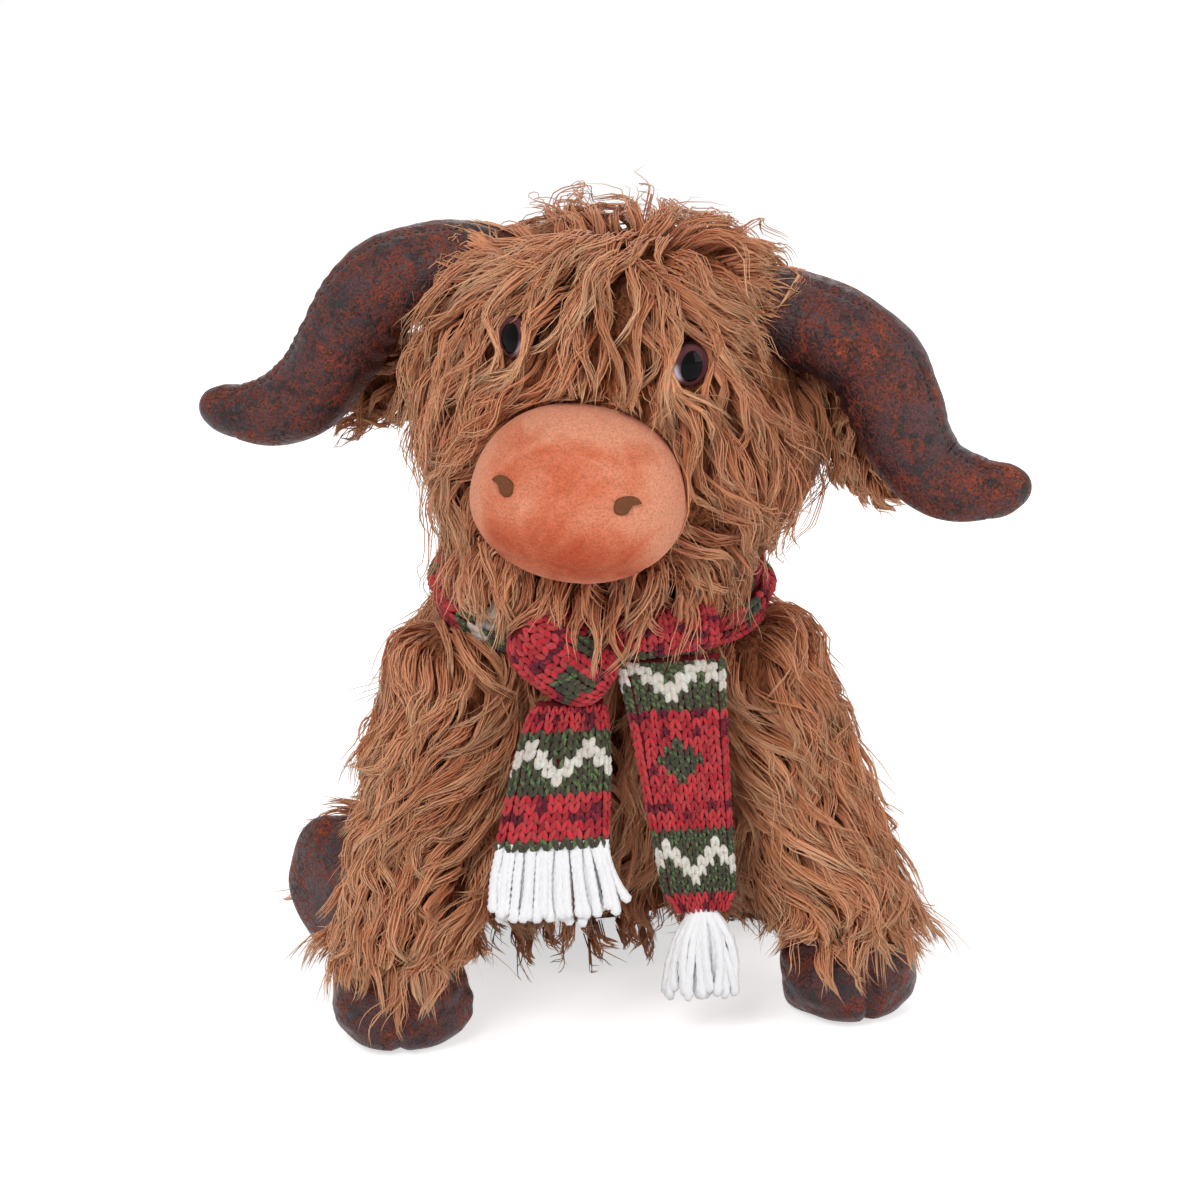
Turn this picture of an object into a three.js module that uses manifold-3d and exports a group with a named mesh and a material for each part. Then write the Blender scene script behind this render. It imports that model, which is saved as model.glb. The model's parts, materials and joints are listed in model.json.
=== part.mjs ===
// A sitting plush cow with a long coat, leather horns and hooves, a velour muzzle and a knitted scarf.
// Millimetres, +Z up, the toy faces -Y. "Left" and "right" are the toy's own, so left is +X.
// Fur pieces are drawn at the outside of their pile, and cloth backing, pile and wall count as one wall.
import * as THREE from "three";
import { mergeVertices } from "three/addons/utils/BufferGeometryUtils.js";
import Module from "manifold-3d";

const wasm = await Module();
wasm.setup();

// Clearances and overruns
const seatGap = 0.3;
const swivelGap = 1;
const overrun = 6;
const weld = 1;
const mergeTolerance = 1e-4;

// Depth that a round form which meets the floor is cut flat
const flatDepth = 0.5;

// Trunk: an egg that leans forwards from its seat to the neck
const trunk = {
  height: 158,
  halfWidth: 84,
  halfDepth: 80,
  seatBack: 118,
  lean: 68,
  wall: 10,
  bagDepth: 24,
};
// Each row: height, lean, half width, half depth
const trunkShares = [
  [0, 0, 0.56, 0.57],
  [0.05, 0.09, 0.77, 0.77],
  [0.13, 0.21, 0.9, 0.9],
  [0.29, 0.34, 0.975, 1],
  [0.51, 0.49, 1, 0.95],
  [0.73, 0.68, 0.87, 0.825],
  [0.89, 0.85, 0.78, 0.71],
  [0.965, 0.94, 0.64, 0.59],
  [1, 1, 0.5, 0.47],
];

// Coat of the trunk and the head: broad locks side by side, with grooves between them that sway as they run
// down, by an angle, once over a length; the rise is how fast the grooves deepen from a form's two ends
const locks = { apart: 23, groove: 6, sway: 5, swayLength: 92, rise: 0.5 };

// Neck: a stuffed ball between the trunk and the head
const neck ={ radius: 34, aboveTrunk: 14, behindOrigin: 40 };

// Head, drawn about its own centre, then turned and tilted as a whole
const head = {
  halfHeight: 66,
  halfWidth: 76,
  halfDepth: 64,
  backShift: 6,
  wall: 10,
  aboveNeck: 63,
  forwardOfNeck: 20,
  aside: 2,
  turn: -20,
  tilt: 7,
};
// Each row: height from the centre, half width, half depth
const headShares = [
  [-1, 0.3, 0.36],
  [-0.95, 0.52, 0.6],
  [-0.74, 0.8, 0.86],
  [-0.42, 0.98, 1],
  [-0.12, 1, 1],
  [0.18, 0.9, 0.98],
  [0.48, 0.75, 0.88],
  [0.76, 0.55, 0.68],
  [0.94, 0.32, 0.4],
  [1, 0.14, 0.18],
];

// Muzzle: an oval velour cushion on the front of the head, with a felt comma for each nostril
const muzzle = { halfWidth: 38, halfDepth: 36, halfHeight: 32, below: 29, wall: 2.5 };
const nostril = { length: 10.5, width: 6.4, thickness: 2.2, inset: 0.3, spread: 37, lift: 9, slant: -20 };

// The nostril's outline, as shares of its half length and half width
const nostrilShares = [
  [-1, 0], [-1, -1], [-0.2, -1], [0.5, -1], [0.6, 0], [1, 0.45], [0.5, 1], [0, 1], [-1, 1], [-1, 0],
];

// Safety eyes: a glossy dome on a stem that a washer holds from inside
const eye = {
  radius: 8,
  bulge: 5,
  rim: 3,
  stemRadius: 2,
  washerRadius: 7,
  washerThickness: 2,
  stemEnd: 1.5,
  setIn: 3,
  lift: 19,
  spread: 31,
};
// Each row: radius, bulge
const domeShares = [
  [1, 0],
  [0.8, 0.6],
  [0.45, 0.92],
  [0, 1],
];

// Horns: stuffed leather tubes that leave the head sideways, turn down and run out to the tips
const horn = {
  radius: 17.5,
  wall: 2,
  rootOut: 42,
  rootUp: 29,
  reach: 110,
  drop: 43,
  forward: 5,
  sweep: 9,
  sag: { left: 0, right: 17 },
};
// Each row: reach, drop, radius, how far the sag counts
const hornShares = [
  [0, 0, 0.95, 0],
  [0.16, -0.05, 0.98, 0],
  [0.31, 0.02, 1, 0],
  [0.44, 0.2, 1, 0.05],
  [0.52, 0.49, 0.97, 0.2],
  [0.59, 0.8, 0.92, 0.42],
  [0.67, 1.02, 0.85, 0.6],
  [0.77, 1.1, 0.74, 0.76],
  [0.87, 1.09, 0.6, 0.9],
  [0.95, 1.02, 0.43, 0.98],
  [1, 0.96, 0.2, 1],
];

// Ears: flat furry leaves that hang out and down below the horns
const ear = {
  length: 50,
  halfWidth: 15,
  halfThickness: 6,
  rootRadius: 8.5,
  droop: 42,
  rootBack: 25,
  rootUp: 1,
  rootProud: 1,
  swingForward: 8,
  swingBack: 20,
};
// Each row: length, half width, half thickness
const earShares = [
  [0, 0.5, 0.9],
  [0.18, 0.55, 0.95],
  [0.4, 0.92, 1],
  [0.62, 1, 1],
  [0.82, 0.72, 0.8],
  [0.95, 0.36, 0.5],
  [1, 0.1, 0.15],
];

// Front legs: furry columns from ball shoulders down to the hooves
const frontLeg = {
  ballRadius: 30,
  shoulderInside: 28,
  shoulderBack: 28,
  shoulderBelow: 38,
  topRadius: 27,
  footRadius: 26,
  wall: 7,
  footSpread: 27,
  footForward: 10,
  toeOut: 10,
};
// Each row: way down the leg, radius between the top and the foot, swell
const frontLegShares = [
  [0, 0, 0.97],
  [0.3, 0.3, 0.97],
  [0.55, 0.55, 0.94],
  [0.8, 0.8, 0.98],
  [1, 1, 1.04],
];

// Hind legs: furry balls at the hips, each with a hoof that shows its sole
const hindLeg = {
  ballRadius: 27,
  hipInside: 16,
  hipForward: 15,
  length: 13,
  footRadius: 25.5,
  wall: 6,
  heading: 32,
};

// Hooves: cloven leather caps
const frontHoof = { radius: 25.5, height: 33, wall: 2.4, cleftWidth: 5, cleftDepth: 11 };
const hindHoof = { radius: 27.5, height: 30, wall: 2.4, cleftWidth: 5, cleftDepth: 10 };
const cleftHeightShare = 0.8;
// Each row: height, radius
const hoofShares = [
  [0, 0.86],
  [0.1, 0.97],
  [0.35, 1],
  [0.65, 0.95],
  [0.88, 0.84],
  [1, 0.76],
];

// Tail: a furry rope with a tuft, hanging from a ball root at the back
const tail = {
  ballRadius: 9,
  rootUp: 78,
  rootProud: 1,
  ropeRadius: 7,
  ropeLength: 34,
  tuftLength: 32,
  tuftRadius: 12,
  tuftProud: 3,
};
// Each row: way down the rope, radius
const ropeShares = [
  [0, 1],
  [0.35, 0.95],
  [0.7, 0.9],
  [1, 0.85],
];
// Each row: way down the tuft, radius
const tuftShares = [
  [0, 0.45],
  [0.2, 0.8],
  [0.5, 1],
  [0.8, 0.75],
  [1, 0.2],
];

// Scarf: a flattened knitted tube round the neck, knotted in front, with two hanging ends
const scarf = {
  halfThickness: 4,
  loopHalfWidth: 55,
  loopHalfDepth: 48,
  loopBack: 43,
  loopRise: 12,
  bandHalfHeight: 13,
  bandHalfThickness: 6,
  bandSlant: 22,
  foldDepth: 1.6,
  folds: 2.5,
  foldTwist: 2,
  gatherShare: 0.4,
  fringeThickness: 6,
};
const knot = {
  halfWidth: 18,
  halfDepth: 12,
  halfHeight: 17,
  aside: 24,
  proud: 10,
  below: 3,
  foldShare: 0.035,
  folds: 5,
  foldSlant: 3,
};
const crossing = { halfWidth: 24, halfDepth: 10, halfHeight: 9, aside: 35, behind: 1, above: 7 };
const rightEnd = {
  length: 46,
  topHalfWidth: 13,
  footHalfWidth: 20,
  topAside: 2,
  topProud: 0,
  footAside: -9,
  footProud: 16,
  taper: 0.6,
  folds: 3,
  fringeLength: 29,
  fringeSpread: 22,
  fringeTeeth: 10,
};
const leftEnd = {
  length: 88,
  topHalfWidth: 19,
  footHalfWidth: 12.5,
  topAside: 4,
  topProud: 2,
  footAside: 9,
  footProud: 14,
  taper: 0.8,
  folds: 2,
  tasselLength: 35,
  tasselRadius: 15,
};
// Each row: way down a hanging end, and how far its round top edge stands over the line that it swings about
const hangShares = [
  [0, 0.98],
  [0, 0.7],
  [0, 0],
  [0.12, 0],
  [0.3, 0],
  [0.5, 0],
  [0.7, 0],
  [0.88, 0],
  [1, 0],
];
// How far down the folds die out, and how much thinner the cloth is at its foot
const foldReachShare = 0.45;
const footThinShare = 0.2;
// Each tooth of the fringe: where its two corners lie across it, and how long they are
const toothShares = { from: 0.15, to: 0.9, corner: 0.93, notch: 0.88 };
// Each row: way down the tassel, radius
const tasselShares = [
  [0, 0.3],
  [0.12, 0.42],
  [0.35, 0.8],
  [0.65, 1],
  [0.9, 0.98],
  [1, 0.8],
];
const tasselDepthShare = 0.45;
const tasselRidgeShare = 0.08;

// Number of facets round each kind of piece, and how finely the faces of a ball are split
const facets = { fur: 16, inner: 8, small: 10, cloth: 14, loop: 16 };
const splits = { muzzle: 3, ball: 2, filling: 1 };

const degrees = Math.PI / 180;
const vec = (x, y, z) => new THREE.Vector3(x, y, z);
const mix = THREE.MathUtils.lerp;

// Solid from a list of rings of points, each ring closed by a fan at the first and the last one
function solidFromRings(rings, closed = false) {
  const count = rings[0].length;
  const points = rings.flat();
  const triangles = [];
  const last = closed ? rings.length : rings.length - 1;
  for (let i = 0; i < last; i++) {
    const here = i * count;
    const next = ((i + 1) % rings.length) * count;
    for (let j = 0; j < count; j++) {
      const k = (j + 1) % count;
      triangles.push(here + j, here + k, next + k, here + j, next + k, next + j);
    }
  }
  if (!closed) {
    for (const [start, flip] of [[0, true], [(rings.length - 1) * count, false]]) {
      const ring = points.slice(start, start + count);
      const centre = ring.reduce((sum, p) => sum.add(p), vec(0, 0, 0)).divideScalar(count);
      const hub = points.push(centre) - 1;
      for (let j = 0; j < count; j++) {
        const k = (j + 1) % count;
        if (flip) triangles.push(hub, start + k, start + j);
        else triangles.push(hub, start + j, start + k);
      }
    }
  }
  return solidFromArrays(points.flatMap((p) => p.toArray()), triangles);
}

function solidFromArrays(positions, triangles) {
  const mesh = new wasm.Mesh({
    numProp: 3,
    vertProperties: new Float32Array(positions),
    triVerts: new Uint32Array(triangles),
  });
  const solid = new wasm.Manifold(mesh);
  return solid.volume() < 0 ? solidFromArrays(positions, triangles.slice().reverse()) : solid;
}

function solidFromGeometry(geometry) {
  const plain = geometry.clone();
  plain.deleteAttribute("normal");
  plain.deleteAttribute("uv");
  const merged = mergeVertices(plain, mergeTolerance);
  return solidFromArrays(merged.attributes.position.array, merged.index.array);
}

// Ellipsoid with its centre at a point; one number gives a ball
function ball(centre, radii, detail = splits.ball) {
  const sizes = typeof radii === "number" ? [radii, radii, radii] : radii;
  const geometry = new THREE.IcosahedronGeometry(1, detail).scale(...sizes).translate(...centre.toArray());
  return solidFromGeometry(geometry);
}

// Oval ring in the plane of two axes
function ovalRing(centre, across, deep, count) {
  return Array.from({ length: count }, (_, j) => {
    const angle = (2 * Math.PI * j) / count;
    return centre.clone().addScaledVector(across, Math.cos(angle)).addScaledVector(deep, Math.sin(angle));
  });
}

// Skin with locks over level ovals {centre, wide, deep, share}, where the share runs from 0 at one end to 1 at
// the other. Every second point lies in a groove, and the crests stay inside the same form of plain facets.
function lockedSkin(ovals, halfWidth, halfDepth) {
  const count = 2 * Math.round((Math.PI * (halfWidth + halfDepth)) / locks.apart);
  const inside = Math.cos(Math.PI / facets.fur);
  return solidFromRings(ovals.map(({ centre, wide, deep, share }) => {
    const groove = locks.groove * Math.sin(Math.PI * share) ** locks.rise;
    const turn = locks.sway * degrees * Math.sin((2 * Math.PI * centre.z) / locks.swayLength);
    return Array.from({ length: count }, (_, j) => {
      const angle = (2 * Math.PI * j) / count + turn;
      const inwards = j % 2 ? groove : 0;
      const across = (wide * inside - inwards) * Math.cos(angle);
      return centre.clone().add(vec(across, (deep * inside - inwards) * Math.sin(angle), 0));
    });
  }));
}

// Round loft along a list of stations {at, radius}, with each ring square to the way it runs
function tube(stations, count, flatten = null) {
  return solidFromRings(stations.map((station, i) => {
    const before = stations[Math.max(i - 1, 0)].at;
    const after = stations[Math.min(i + 1, stations.length - 1)].at;
    const along = after.clone().sub(before).normalize();
    const side = (flatten ?? vec(0, 1, 0)).clone();
    side.addScaledVector(along, -side.dot(along)).normalize();
    const across = new THREE.Vector3().crossVectors(side, along);
    const wide = station.wide ?? station.radius;
    const deep = station.deep ?? station.radius;
    return ovalRing(station.at, across.multiplyScalar(wide), side.multiplyScalar(deep), count);
  }));
}

// A limb's ball; a smaller one than its outside, for its wall and its filling, has fewer faces
function limbBall(centre, radius, offset) {
  return ball(centre, radius + offset, offset < 0 ? splits.filling : splits.ball);
}

// Solid cut by each cutter in turn
const cutBy = (solid, ...cutters) => cutters.flat().reduce((rest, cutter) => rest.subtract(cutter), solid);

// Everything above or below a level, as a box that overruns the toy
function slab(low, high) {
  const size = 8 * trunk.height;
  const geometry = new THREE.BoxGeometry(size, size, high - low);
  geometry.translate(0, 0, (low + high) / 2);
  return solidFromGeometry(geometry);
}
const underFloor = slab(-2 * trunk.height, 0);

const furColor = 0xa9713f;
const materials = {
  fur: new THREE.MeshStandardMaterial({ color: furColor, roughness: 0.95, metalness: 0 }),
  stuffing: new THREE.MeshStandardMaterial({ color: 0xf2efe8, roughness: 1, metalness: 0 }),
  pellets: new THREE.MeshStandardMaterial({ color: 0xd8d2c4, roughness: 0.9, metalness: 0 }),
  velour: new THREE.MeshStandardMaterial({ color: 0xd67c55, roughness: 0.85, metalness: 0 }),
  felt: new THREE.MeshStandardMaterial({ color: 0x6b3e28, roughness: 1, metalness: 0 }),
  eye: new THREE.MeshStandardMaterial({ color: 0x0c0909, roughness: 0.08, metalness: 0 }),
  washer: new THREE.MeshStandardMaterial({ color: 0xe6e4dd, roughness: 0.5, metalness: 0 }),
  leather: new THREE.MeshStandardMaterial({ color: 0x3d2322, roughness: 0.5, metalness: 0 }),
  knit: new THREE.MeshStandardMaterial({ color: 0xa92a34, roughness: 0.95, metalness: 0 }),
  yarn: new THREE.MeshStandardMaterial({ color: 0xeeeef4, roughness: 0.9, metalness: 0 }),
};

const toy = new THREE.Group();
const headGroup = new THREE.Group();
toy.add(headGroup);

function addPiece(name, solid, material, group = toy) {
  const mesh = solid.getMesh();
  const geometry = new THREE.BufferGeometry();
  geometry.setAttribute("position", new THREE.BufferAttribute(new Float32Array(mesh.vertProperties), 3));
  geometry.setIndex(new THREE.BufferAttribute(new Uint32Array(mesh.triVerts), 1));
  geometry.computeVertexNormals();
  const piece = new THREE.Mesh(geometry, materials[material]);
  piece.name = name;
  group.add(piece);
}

// Places that several pieces share
const neckPivot = vec(0, neck.behindOrigin, trunk.height + neck.aboveTrunk);
const headCentre = vec(head.aside, neckPivot.y - head.forwardOfNeck, neckPivot.z + head.aboveNeck);
headGroup.position.copy(headCentre);
headGroup.rotation.set(0, head.tilt * degrees, head.turn * degrees, "ZYX");
headGroup.updateMatrixWorld(true);
const inHead = (point) => headGroup.worldToLocal(point.clone());

// The trunk's outside at a distance outwards (positive) or inwards (negative) from the pile's surface
const trunkOvals = (offset) => trunkShares.map(([up, lean, wide, deep]) => ({
  centre: vec(0, trunk.seatBack - lean * trunk.lean, mix(-offset, trunk.height + offset, up)),
  wide: wide * trunk.halfWidth + offset,
  deep: deep * trunk.halfDepth + offset,
  share: up,
}));
function trunkForm(offset, count) {
  return solidFromRings(trunkOvals(offset).map(({ centre, wide, deep }) => (
    ovalRing(centre, vec(wide, 0, 0), vec(0, deep, 0), count)
  )));
}
const trunkClear = trunkForm(seatGap, facets.fur);

// Where the trunk's back meets a level, between the two nearest rows of its table
function trunkBackAt(level) {
  const share = level / trunk.height;
  const above = trunkShares.findIndex(([up]) => up >= share);
  const [low, high] = [trunkShares[above - 1], trunkShares[above]];
  const part = (share - low[0]) / (high[0] - low[0]);
  const lean = mix(low[1], high[1], part);
  return trunk.seatBack - lean * trunk.lean + mix(low[3], high[3], part) * trunk.halfDepth;
}

// Room under the fur of the front legs that their hooves fill
const hoofRoom = slab(-trunk.height, frontHoof.height);

// A limb's places and solids for one side; side is +1 on the toy's left and -1 on its right
function frontLegPlan(side) {
  const out = trunk.halfWidth - frontLeg.shoulderInside;
  const shoulder = vec(side * out, frontLeg.shoulderBack, trunk.height - frontLeg.shoulderBelow);
  const foot = vec(side * (out + frontLeg.footSpread), -frontLeg.footForward, frontHoof.height);
  const form = (offset, count) => {
    const stations = frontLegShares.map(([down, blend, swell]) => ({
      at: shoulder.clone().lerp(foot, down),
      radius: mix(frontLeg.topRadius, frontLeg.footRadius, blend) * swell + offset,
    }));
    stations[stations.length - 1].at.z -= overrun;
    return tube(stations, count, vec(0, 1, 0));
  };
  const shoulderBall = (offset) => limbBall(shoulder, frontLeg.ballRadius, offset);
  return { shoulder, foot, form, shoulderBall };
}

function hindLegPlan(side) {
  const out = trunk.halfWidth - hindLeg.hipInside;
  const hip = vec(side * out, trunk.seatBack - hindLeg.hipForward, hindLeg.ballRadius - flatDepth);
  const heading = vec(side * Math.cos(hindLeg.heading * degrees), -Math.sin(hindLeg.heading * degrees), 0);
  const foot = hip.clone().addScaledVector(heading, hindLeg.length);
  const form = (offset, count, past) => tube([
    { at: hip.clone(), radius: hindLeg.footRadius + offset },
    { at: foot.clone().addScaledVector(heading, past), radius: hindLeg.footRadius + offset },
  ], count, vec(0, 0, 1));
  const hipBall = (offset) => limbBall(hip, hindLeg.ballRadius, offset);
  const room = 2 * hindHoof.radius;
  const past = foot.clone().addScaledVector(heading, room);
  const capRoom = tube([{ at: foot, radius: room }, { at: past, radius: room }], facets.small, vec(0, 0, 1));
  return { hip, heading, foot, form, hipBall, capRoom };
}

const sides = [["left", 1], ["right", -1]];
const frontPlans = Object.fromEntries(sides.map(([name, side]) => [name, frontLegPlan(side)]));
const hindPlans = Object.fromEntries(sides.map(([name, side]) => [name, hindLegPlan(side)]));
const tailRoot = vec(0, trunkBackAt(tail.rootUp) + tail.rootProud, tail.rootUp);

// Dishes in the trunk that hold the neck, the limbs and the tail
const trunkDishes = [
  ball(neckPivot, neck.radius + swivelGap),
  ...sides.map(([name]) => frontPlans[name].shoulderBall(swivelGap)),
  ...sides.map(([name]) => hindPlans[name].hipBall(swivelGap)),
  ball(tailRoot, tail.ballRadius + swivelGap, splits.filling),
];

function buildTrunk() {
  const bagTop = trunk.wall + trunk.bagDepth;
  const cavity = trunkForm(-trunk.wall, facets.inner);
  const filling = trunkForm(-trunk.wall - seatGap, facets.inner);
  const coat = lockedSkin(trunkOvals(0), trunk.halfWidth, trunk.halfDepth);
  addPiece("body_skin", cutBy(coat, cavity, trunkDishes), "fur");
  addPiece("body_stuffing", cutBy(filling, slab(-bagTop, bagTop + seatGap), trunkDishes), "stuffing");
  const bag = filling.intersect(slab(-bagTop, bagTop));
  addPiece("pellet_bag", cutBy(bag, trunkDishes), "pellets");
  addPiece("neck_stuffing", ball(neckPivot, neck.radius), "stuffing");
}

const headOvals = (offset) => headShares.map(([up, wide, deep]) => ({
  centre: vec(0, head.backShift, up * (head.halfHeight + offset)),
  wide: Math.max(wide * head.halfWidth + offset, -offset * wide),
  deep: Math.max(deep * head.halfDepth + offset, -offset * deep),
  share: (1 + up) / 2,
}));
function headForm(offset, count) {
  return solidFromRings(headOvals(offset).map(({ centre, wide, deep }) => (
    ovalRing(centre, vec(wide, 0, 0), vec(0, deep, 0), count)
  )));
}
const headClear = headForm(seatGap, facets.fur);

// Half width and half depth of the head at a height over its centre
function headAt(up) {
  const share = up / head.halfHeight;
  const above = headShares.findIndex(([row]) => row >= share);
  const [low, high] = [headShares[above - 1], headShares[above]];
  const part = (share - low[0]) / (high[0] - low[0]);
  return {
    wide: mix(low[1], high[1], part) * head.halfWidth,
    deep: mix(low[2], high[2], part) * head.halfDepth,
  };
}

// Frame for a piece whose own +Z points along a direction
function aimed(geometry, place, direction, roll = 0) {
  const turn = new THREE.Quaternion().setFromUnitVectors(vec(0, 0, 1), direction.clone().normalize());
  return geometry.rotateZ(roll).applyQuaternion(turn).translate(...place.toArray());
}

function eyePlan(side) {
  const { wide, deep } = headAt(eye.lift);
  const angle = eye.spread * degrees;
  const outward = vec(side * Math.sin(angle), -Math.cos(angle), 0);
  const reach = 1 / Math.hypot(outward.x / wide, outward.y / deep);
  const surface = vec(outward.x * reach, head.backShift + outward.y * reach, eye.lift);
  const seat = surface.clone().addScaledVector(outward, -eye.setIn);
  const washerDepth = head.wall - eye.setIn + seatGap;
  const dome = (grow) => {
    const profile = [
      [0, -eye.rim - grow],
      [eye.radius + grow, -eye.rim - grow],
      ...domeShares.map(([wide, high]) => [wide * (eye.radius + grow), high * (eye.bulge + grow)]),
    ];
    return lathe(profile, facets.cloth, seat, outward);
  };
  const stemLength = washerDepth + eye.washerThickness + eye.stemEnd;
  const stem = (grow) => rod(eye.stemRadius + grow, stemLength + grow, seat, outward);
  const washerPlace = seat.clone().addScaledVector(outward, -washerDepth - eye.washerThickness);
  const washer = (grow) => lathe([
    [0, -grow],
    [eye.washerRadius + grow, -grow],
    [eye.washerRadius + grow, eye.washerThickness + grow],
    [0, eye.washerThickness + grow],
  ], facets.small, washerPlace, outward);
  return { dome, stem, washer };
}

// Turned piece from a profile of [radius, height], with its axis along a direction
function lathe(profile, count, place, direction) {
  const points = profile.map(([radius, height]) => new THREE.Vector2(radius, height));
  const geometry = new THREE.LatheGeometry(points, count).rotateX(Math.PI / 2);
  return solidFromGeometry(aimed(geometry, place, direction));
}

// Rod that runs from a place back against a direction
function rod(radius, length, place, direction) {
  return lathe([[0, -length], [radius, -length], [radius, 0], [0, 0]], facets.small, place, direction);
}

const muzzleCentre = vec(0, head.backShift - head.halfDepth, -muzzle.below);
const muzzleForm = (offset, detail) => ball(muzzleCentre, [
  muzzle.halfWidth + offset,
  muzzle.halfDepth + offset,
  muzzle.halfHeight + offset,
], detail);

// Comma-shaped felt patch, let into the muzzle's cover
function nostrilForm(side, grow) {
  const half = nostril.length / 2 + grow;
  const deep = nostril.width / 2 + grow;
  const at = nostrilShares.map(([far, wide]) => [far * half, wide * deep]);
  const outline = new THREE.Shape();
  outline.moveTo(...at[0]);
  outline.quadraticCurveTo(...at[1], ...at[2]);
  outline.quadraticCurveTo(...at[3], ...at[4]);
  outline.lineTo(...at[5]);
  outline.quadraticCurveTo(...at[6], ...at[7]);
  outline.quadraticCurveTo(...at[8], ...at[9]);
  const depth = nostril.thickness + 2 * grow;
  const patch = new THREE.ExtrudeGeometry(outline, { depth, bevelEnabled: false, curveSegments: 3 });
  patch.translate(0, 0, -depth / 2).rotateZ(nostril.slant * degrees);
  if (side < 0) patch.scale(-1, 1, 1);
  const across = nostril.spread * degrees;
  const lift = nostril.lift * degrees;
  const level = Math.cos(lift);
  const outward = vec(side * Math.sin(across) * level, -Math.cos(across) * level, Math.sin(lift));
  const sizes = vec(muzzle.halfWidth, muzzle.halfDepth, muzzle.halfHeight);
  const reach = 1 / outward.clone().divide(sizes).length();
  const normal = outward.clone().divide(sizes).divide(sizes).normalize();
  const middle = muzzleCentre.clone().addScaledVector(outward, reach);
  middle.addScaledVector(normal, -nostril.inset - nostril.thickness / 2);
  const upright = new THREE.Matrix4().lookAt(normal, vec(0, 0, 0), vec(0, 0, 1));
  patch.applyMatrix4(upright).translate(...middle.toArray());
  return solidFromGeometry(patch);
}

function earPlan(side) {
  const { wide, deep } = headAt(ear.rootUp);
  const out = wide * Math.sqrt(1 - ((ear.rootBack - head.backShift) / deep) ** 2);
  const root = vec(side * (out + ear.rootProud), ear.rootBack, ear.rootUp);
  const droop = ear.droop * degrees;
  const along = vec(side * Math.cos(droop), 0, -Math.sin(droop));
  const leaf = earShares.map(([far, wideShare, thickShare]) => ({
    at: root.clone().addScaledVector(along, far * ear.length),
    wide: wideShare * ear.halfWidth,
    deep: thickShare * ear.halfThickness,
  }));
  const axis = new THREE.Vector3().crossVectors(along, vec(0, 1, 0));
  return { root, along, leaf, axis };
}

// What an ear's leaf stays clear of: the head, also as it lies against the ear at both ends of its swing
function earRoom({ root, axis }) {
  const away = new THREE.Matrix4().makeTranslation(...root.clone().negate().toArray());
  const back = new THREE.Matrix4().makeTranslation(...root.toArray());
  return [ear.swingForward, 0, -ear.swingBack].map((swing) => {
    const swung = new THREE.Matrix4().makeRotationAxis(axis, swing * degrees);
    return headClear.transform(back.clone().multiply(swung).multiply(away).toArray());
  });
}

// The horn's centre line for one side, as stations that its leather and its filling share
function hornStations(side, name, inset) {
  const sag = horn.sag[name];
  const stations = hornShares.map(([out, down, thick, loose]) => ({
    at: vec(
      side * (horn.rootOut + out * horn.reach),
      horn.forward - out * horn.sweep,
      horn.rootUp - down * horn.drop - loose * sag,
    ),
    radius: Math.max(thick * horn.radius - inset, seatGap),
  }));
  return inset > 0 ? stations.slice(0, -1) : stations;
}

function buildHead() {
  const neckDish = ball(inHead(neckPivot), neck.radius + swivelGap);
  const eyes = sides.map(([name, side]) => [name, eyePlan(side)]);
  const ears = sides.map(([name, side]) => [name, earPlan(side)]);
  const earDishes = ears.map(([, plan]) => ball(plan.root, ear.rootRadius + swivelGap, splits.filling));
  const eyeCuts = eyes.map(([, plan]) => cutBox(plan, seatGap));
  const cavity = headForm(-head.wall, facets.inner);
  const filling = headForm(-head.wall - seatGap, facets.inner);
  const coat = lockedSkin(headOvals(0), head.halfWidth, head.halfDepth);
  const skin = cutBy(coat, cavity, neckDish, earDishes, eyeCuts);
  addPiece("head_skin", skin, "fur", headGroup);
  addPiece("head_stuffing", cutBy(filling, neckDish, earDishes, eyeCuts), "stuffing", headGroup);

  const nostrilCuts = sides.map(([, side]) => nostrilForm(side, seatGap));
  const cover = cutBy(muzzleForm(0, splits.muzzle), muzzleForm(-muzzle.wall, splits.ball));
  addPiece("muzzle_cover", cutBy(cover, headClear, nostrilCuts), "velour", headGroup);
  const cushion = muzzleForm(-muzzle.wall - seatGap, splits.ball);
  addPiece("muzzle_stuffing", cutBy(cushion, headClear, nostrilCuts), "stuffing", headGroup);
  for (const [name, side] of sides) addPiece(`nostril_${name}`, nostrilForm(side, 0), "felt", headGroup);

  for (const [name, plan] of eyes) {
    addPiece(`eye_${name}`, plan.dome(0).add(plan.stem(0)), "eye", headGroup);
    addPiece(`eye_washer_${name}`, cutBy(plan.washer(0), plan.stem(seatGap)), "washer", headGroup);
  }
  for (const [name, plan] of ears) {
    const leaf = cutBy(tube(plan.leaf, facets.small, vec(0, 1, 0)), earRoom(plan));
    addPiece(`ear_${name}`, leaf.add(ball(plan.root, ear.rootRadius, splits.filling)), "fur", headGroup);
  }
  for (const [name, side] of sides) {
    const leather = tube(hornStations(side, name, 0), facets.small + 2);
    const hollow = tube(hornStations(side, name, horn.wall), facets.small);
    const filler = tube(hornStations(side, name, horn.wall + seatGap), facets.small);
    addPiece(`horn_${name}`, cutBy(leather, hollow, headClear), "leather", headGroup);
    addPiece(`horn_stuffing_${name}`, cutBy(filler, headClear), "stuffing", headGroup);
  }
}

// Everything of a safety eye that the head's skin and filling must leave room for
const cutBox = (plan, grow) => plan.dome(grow).add(plan.stem(grow)).add(plan.washer(grow));

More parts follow.
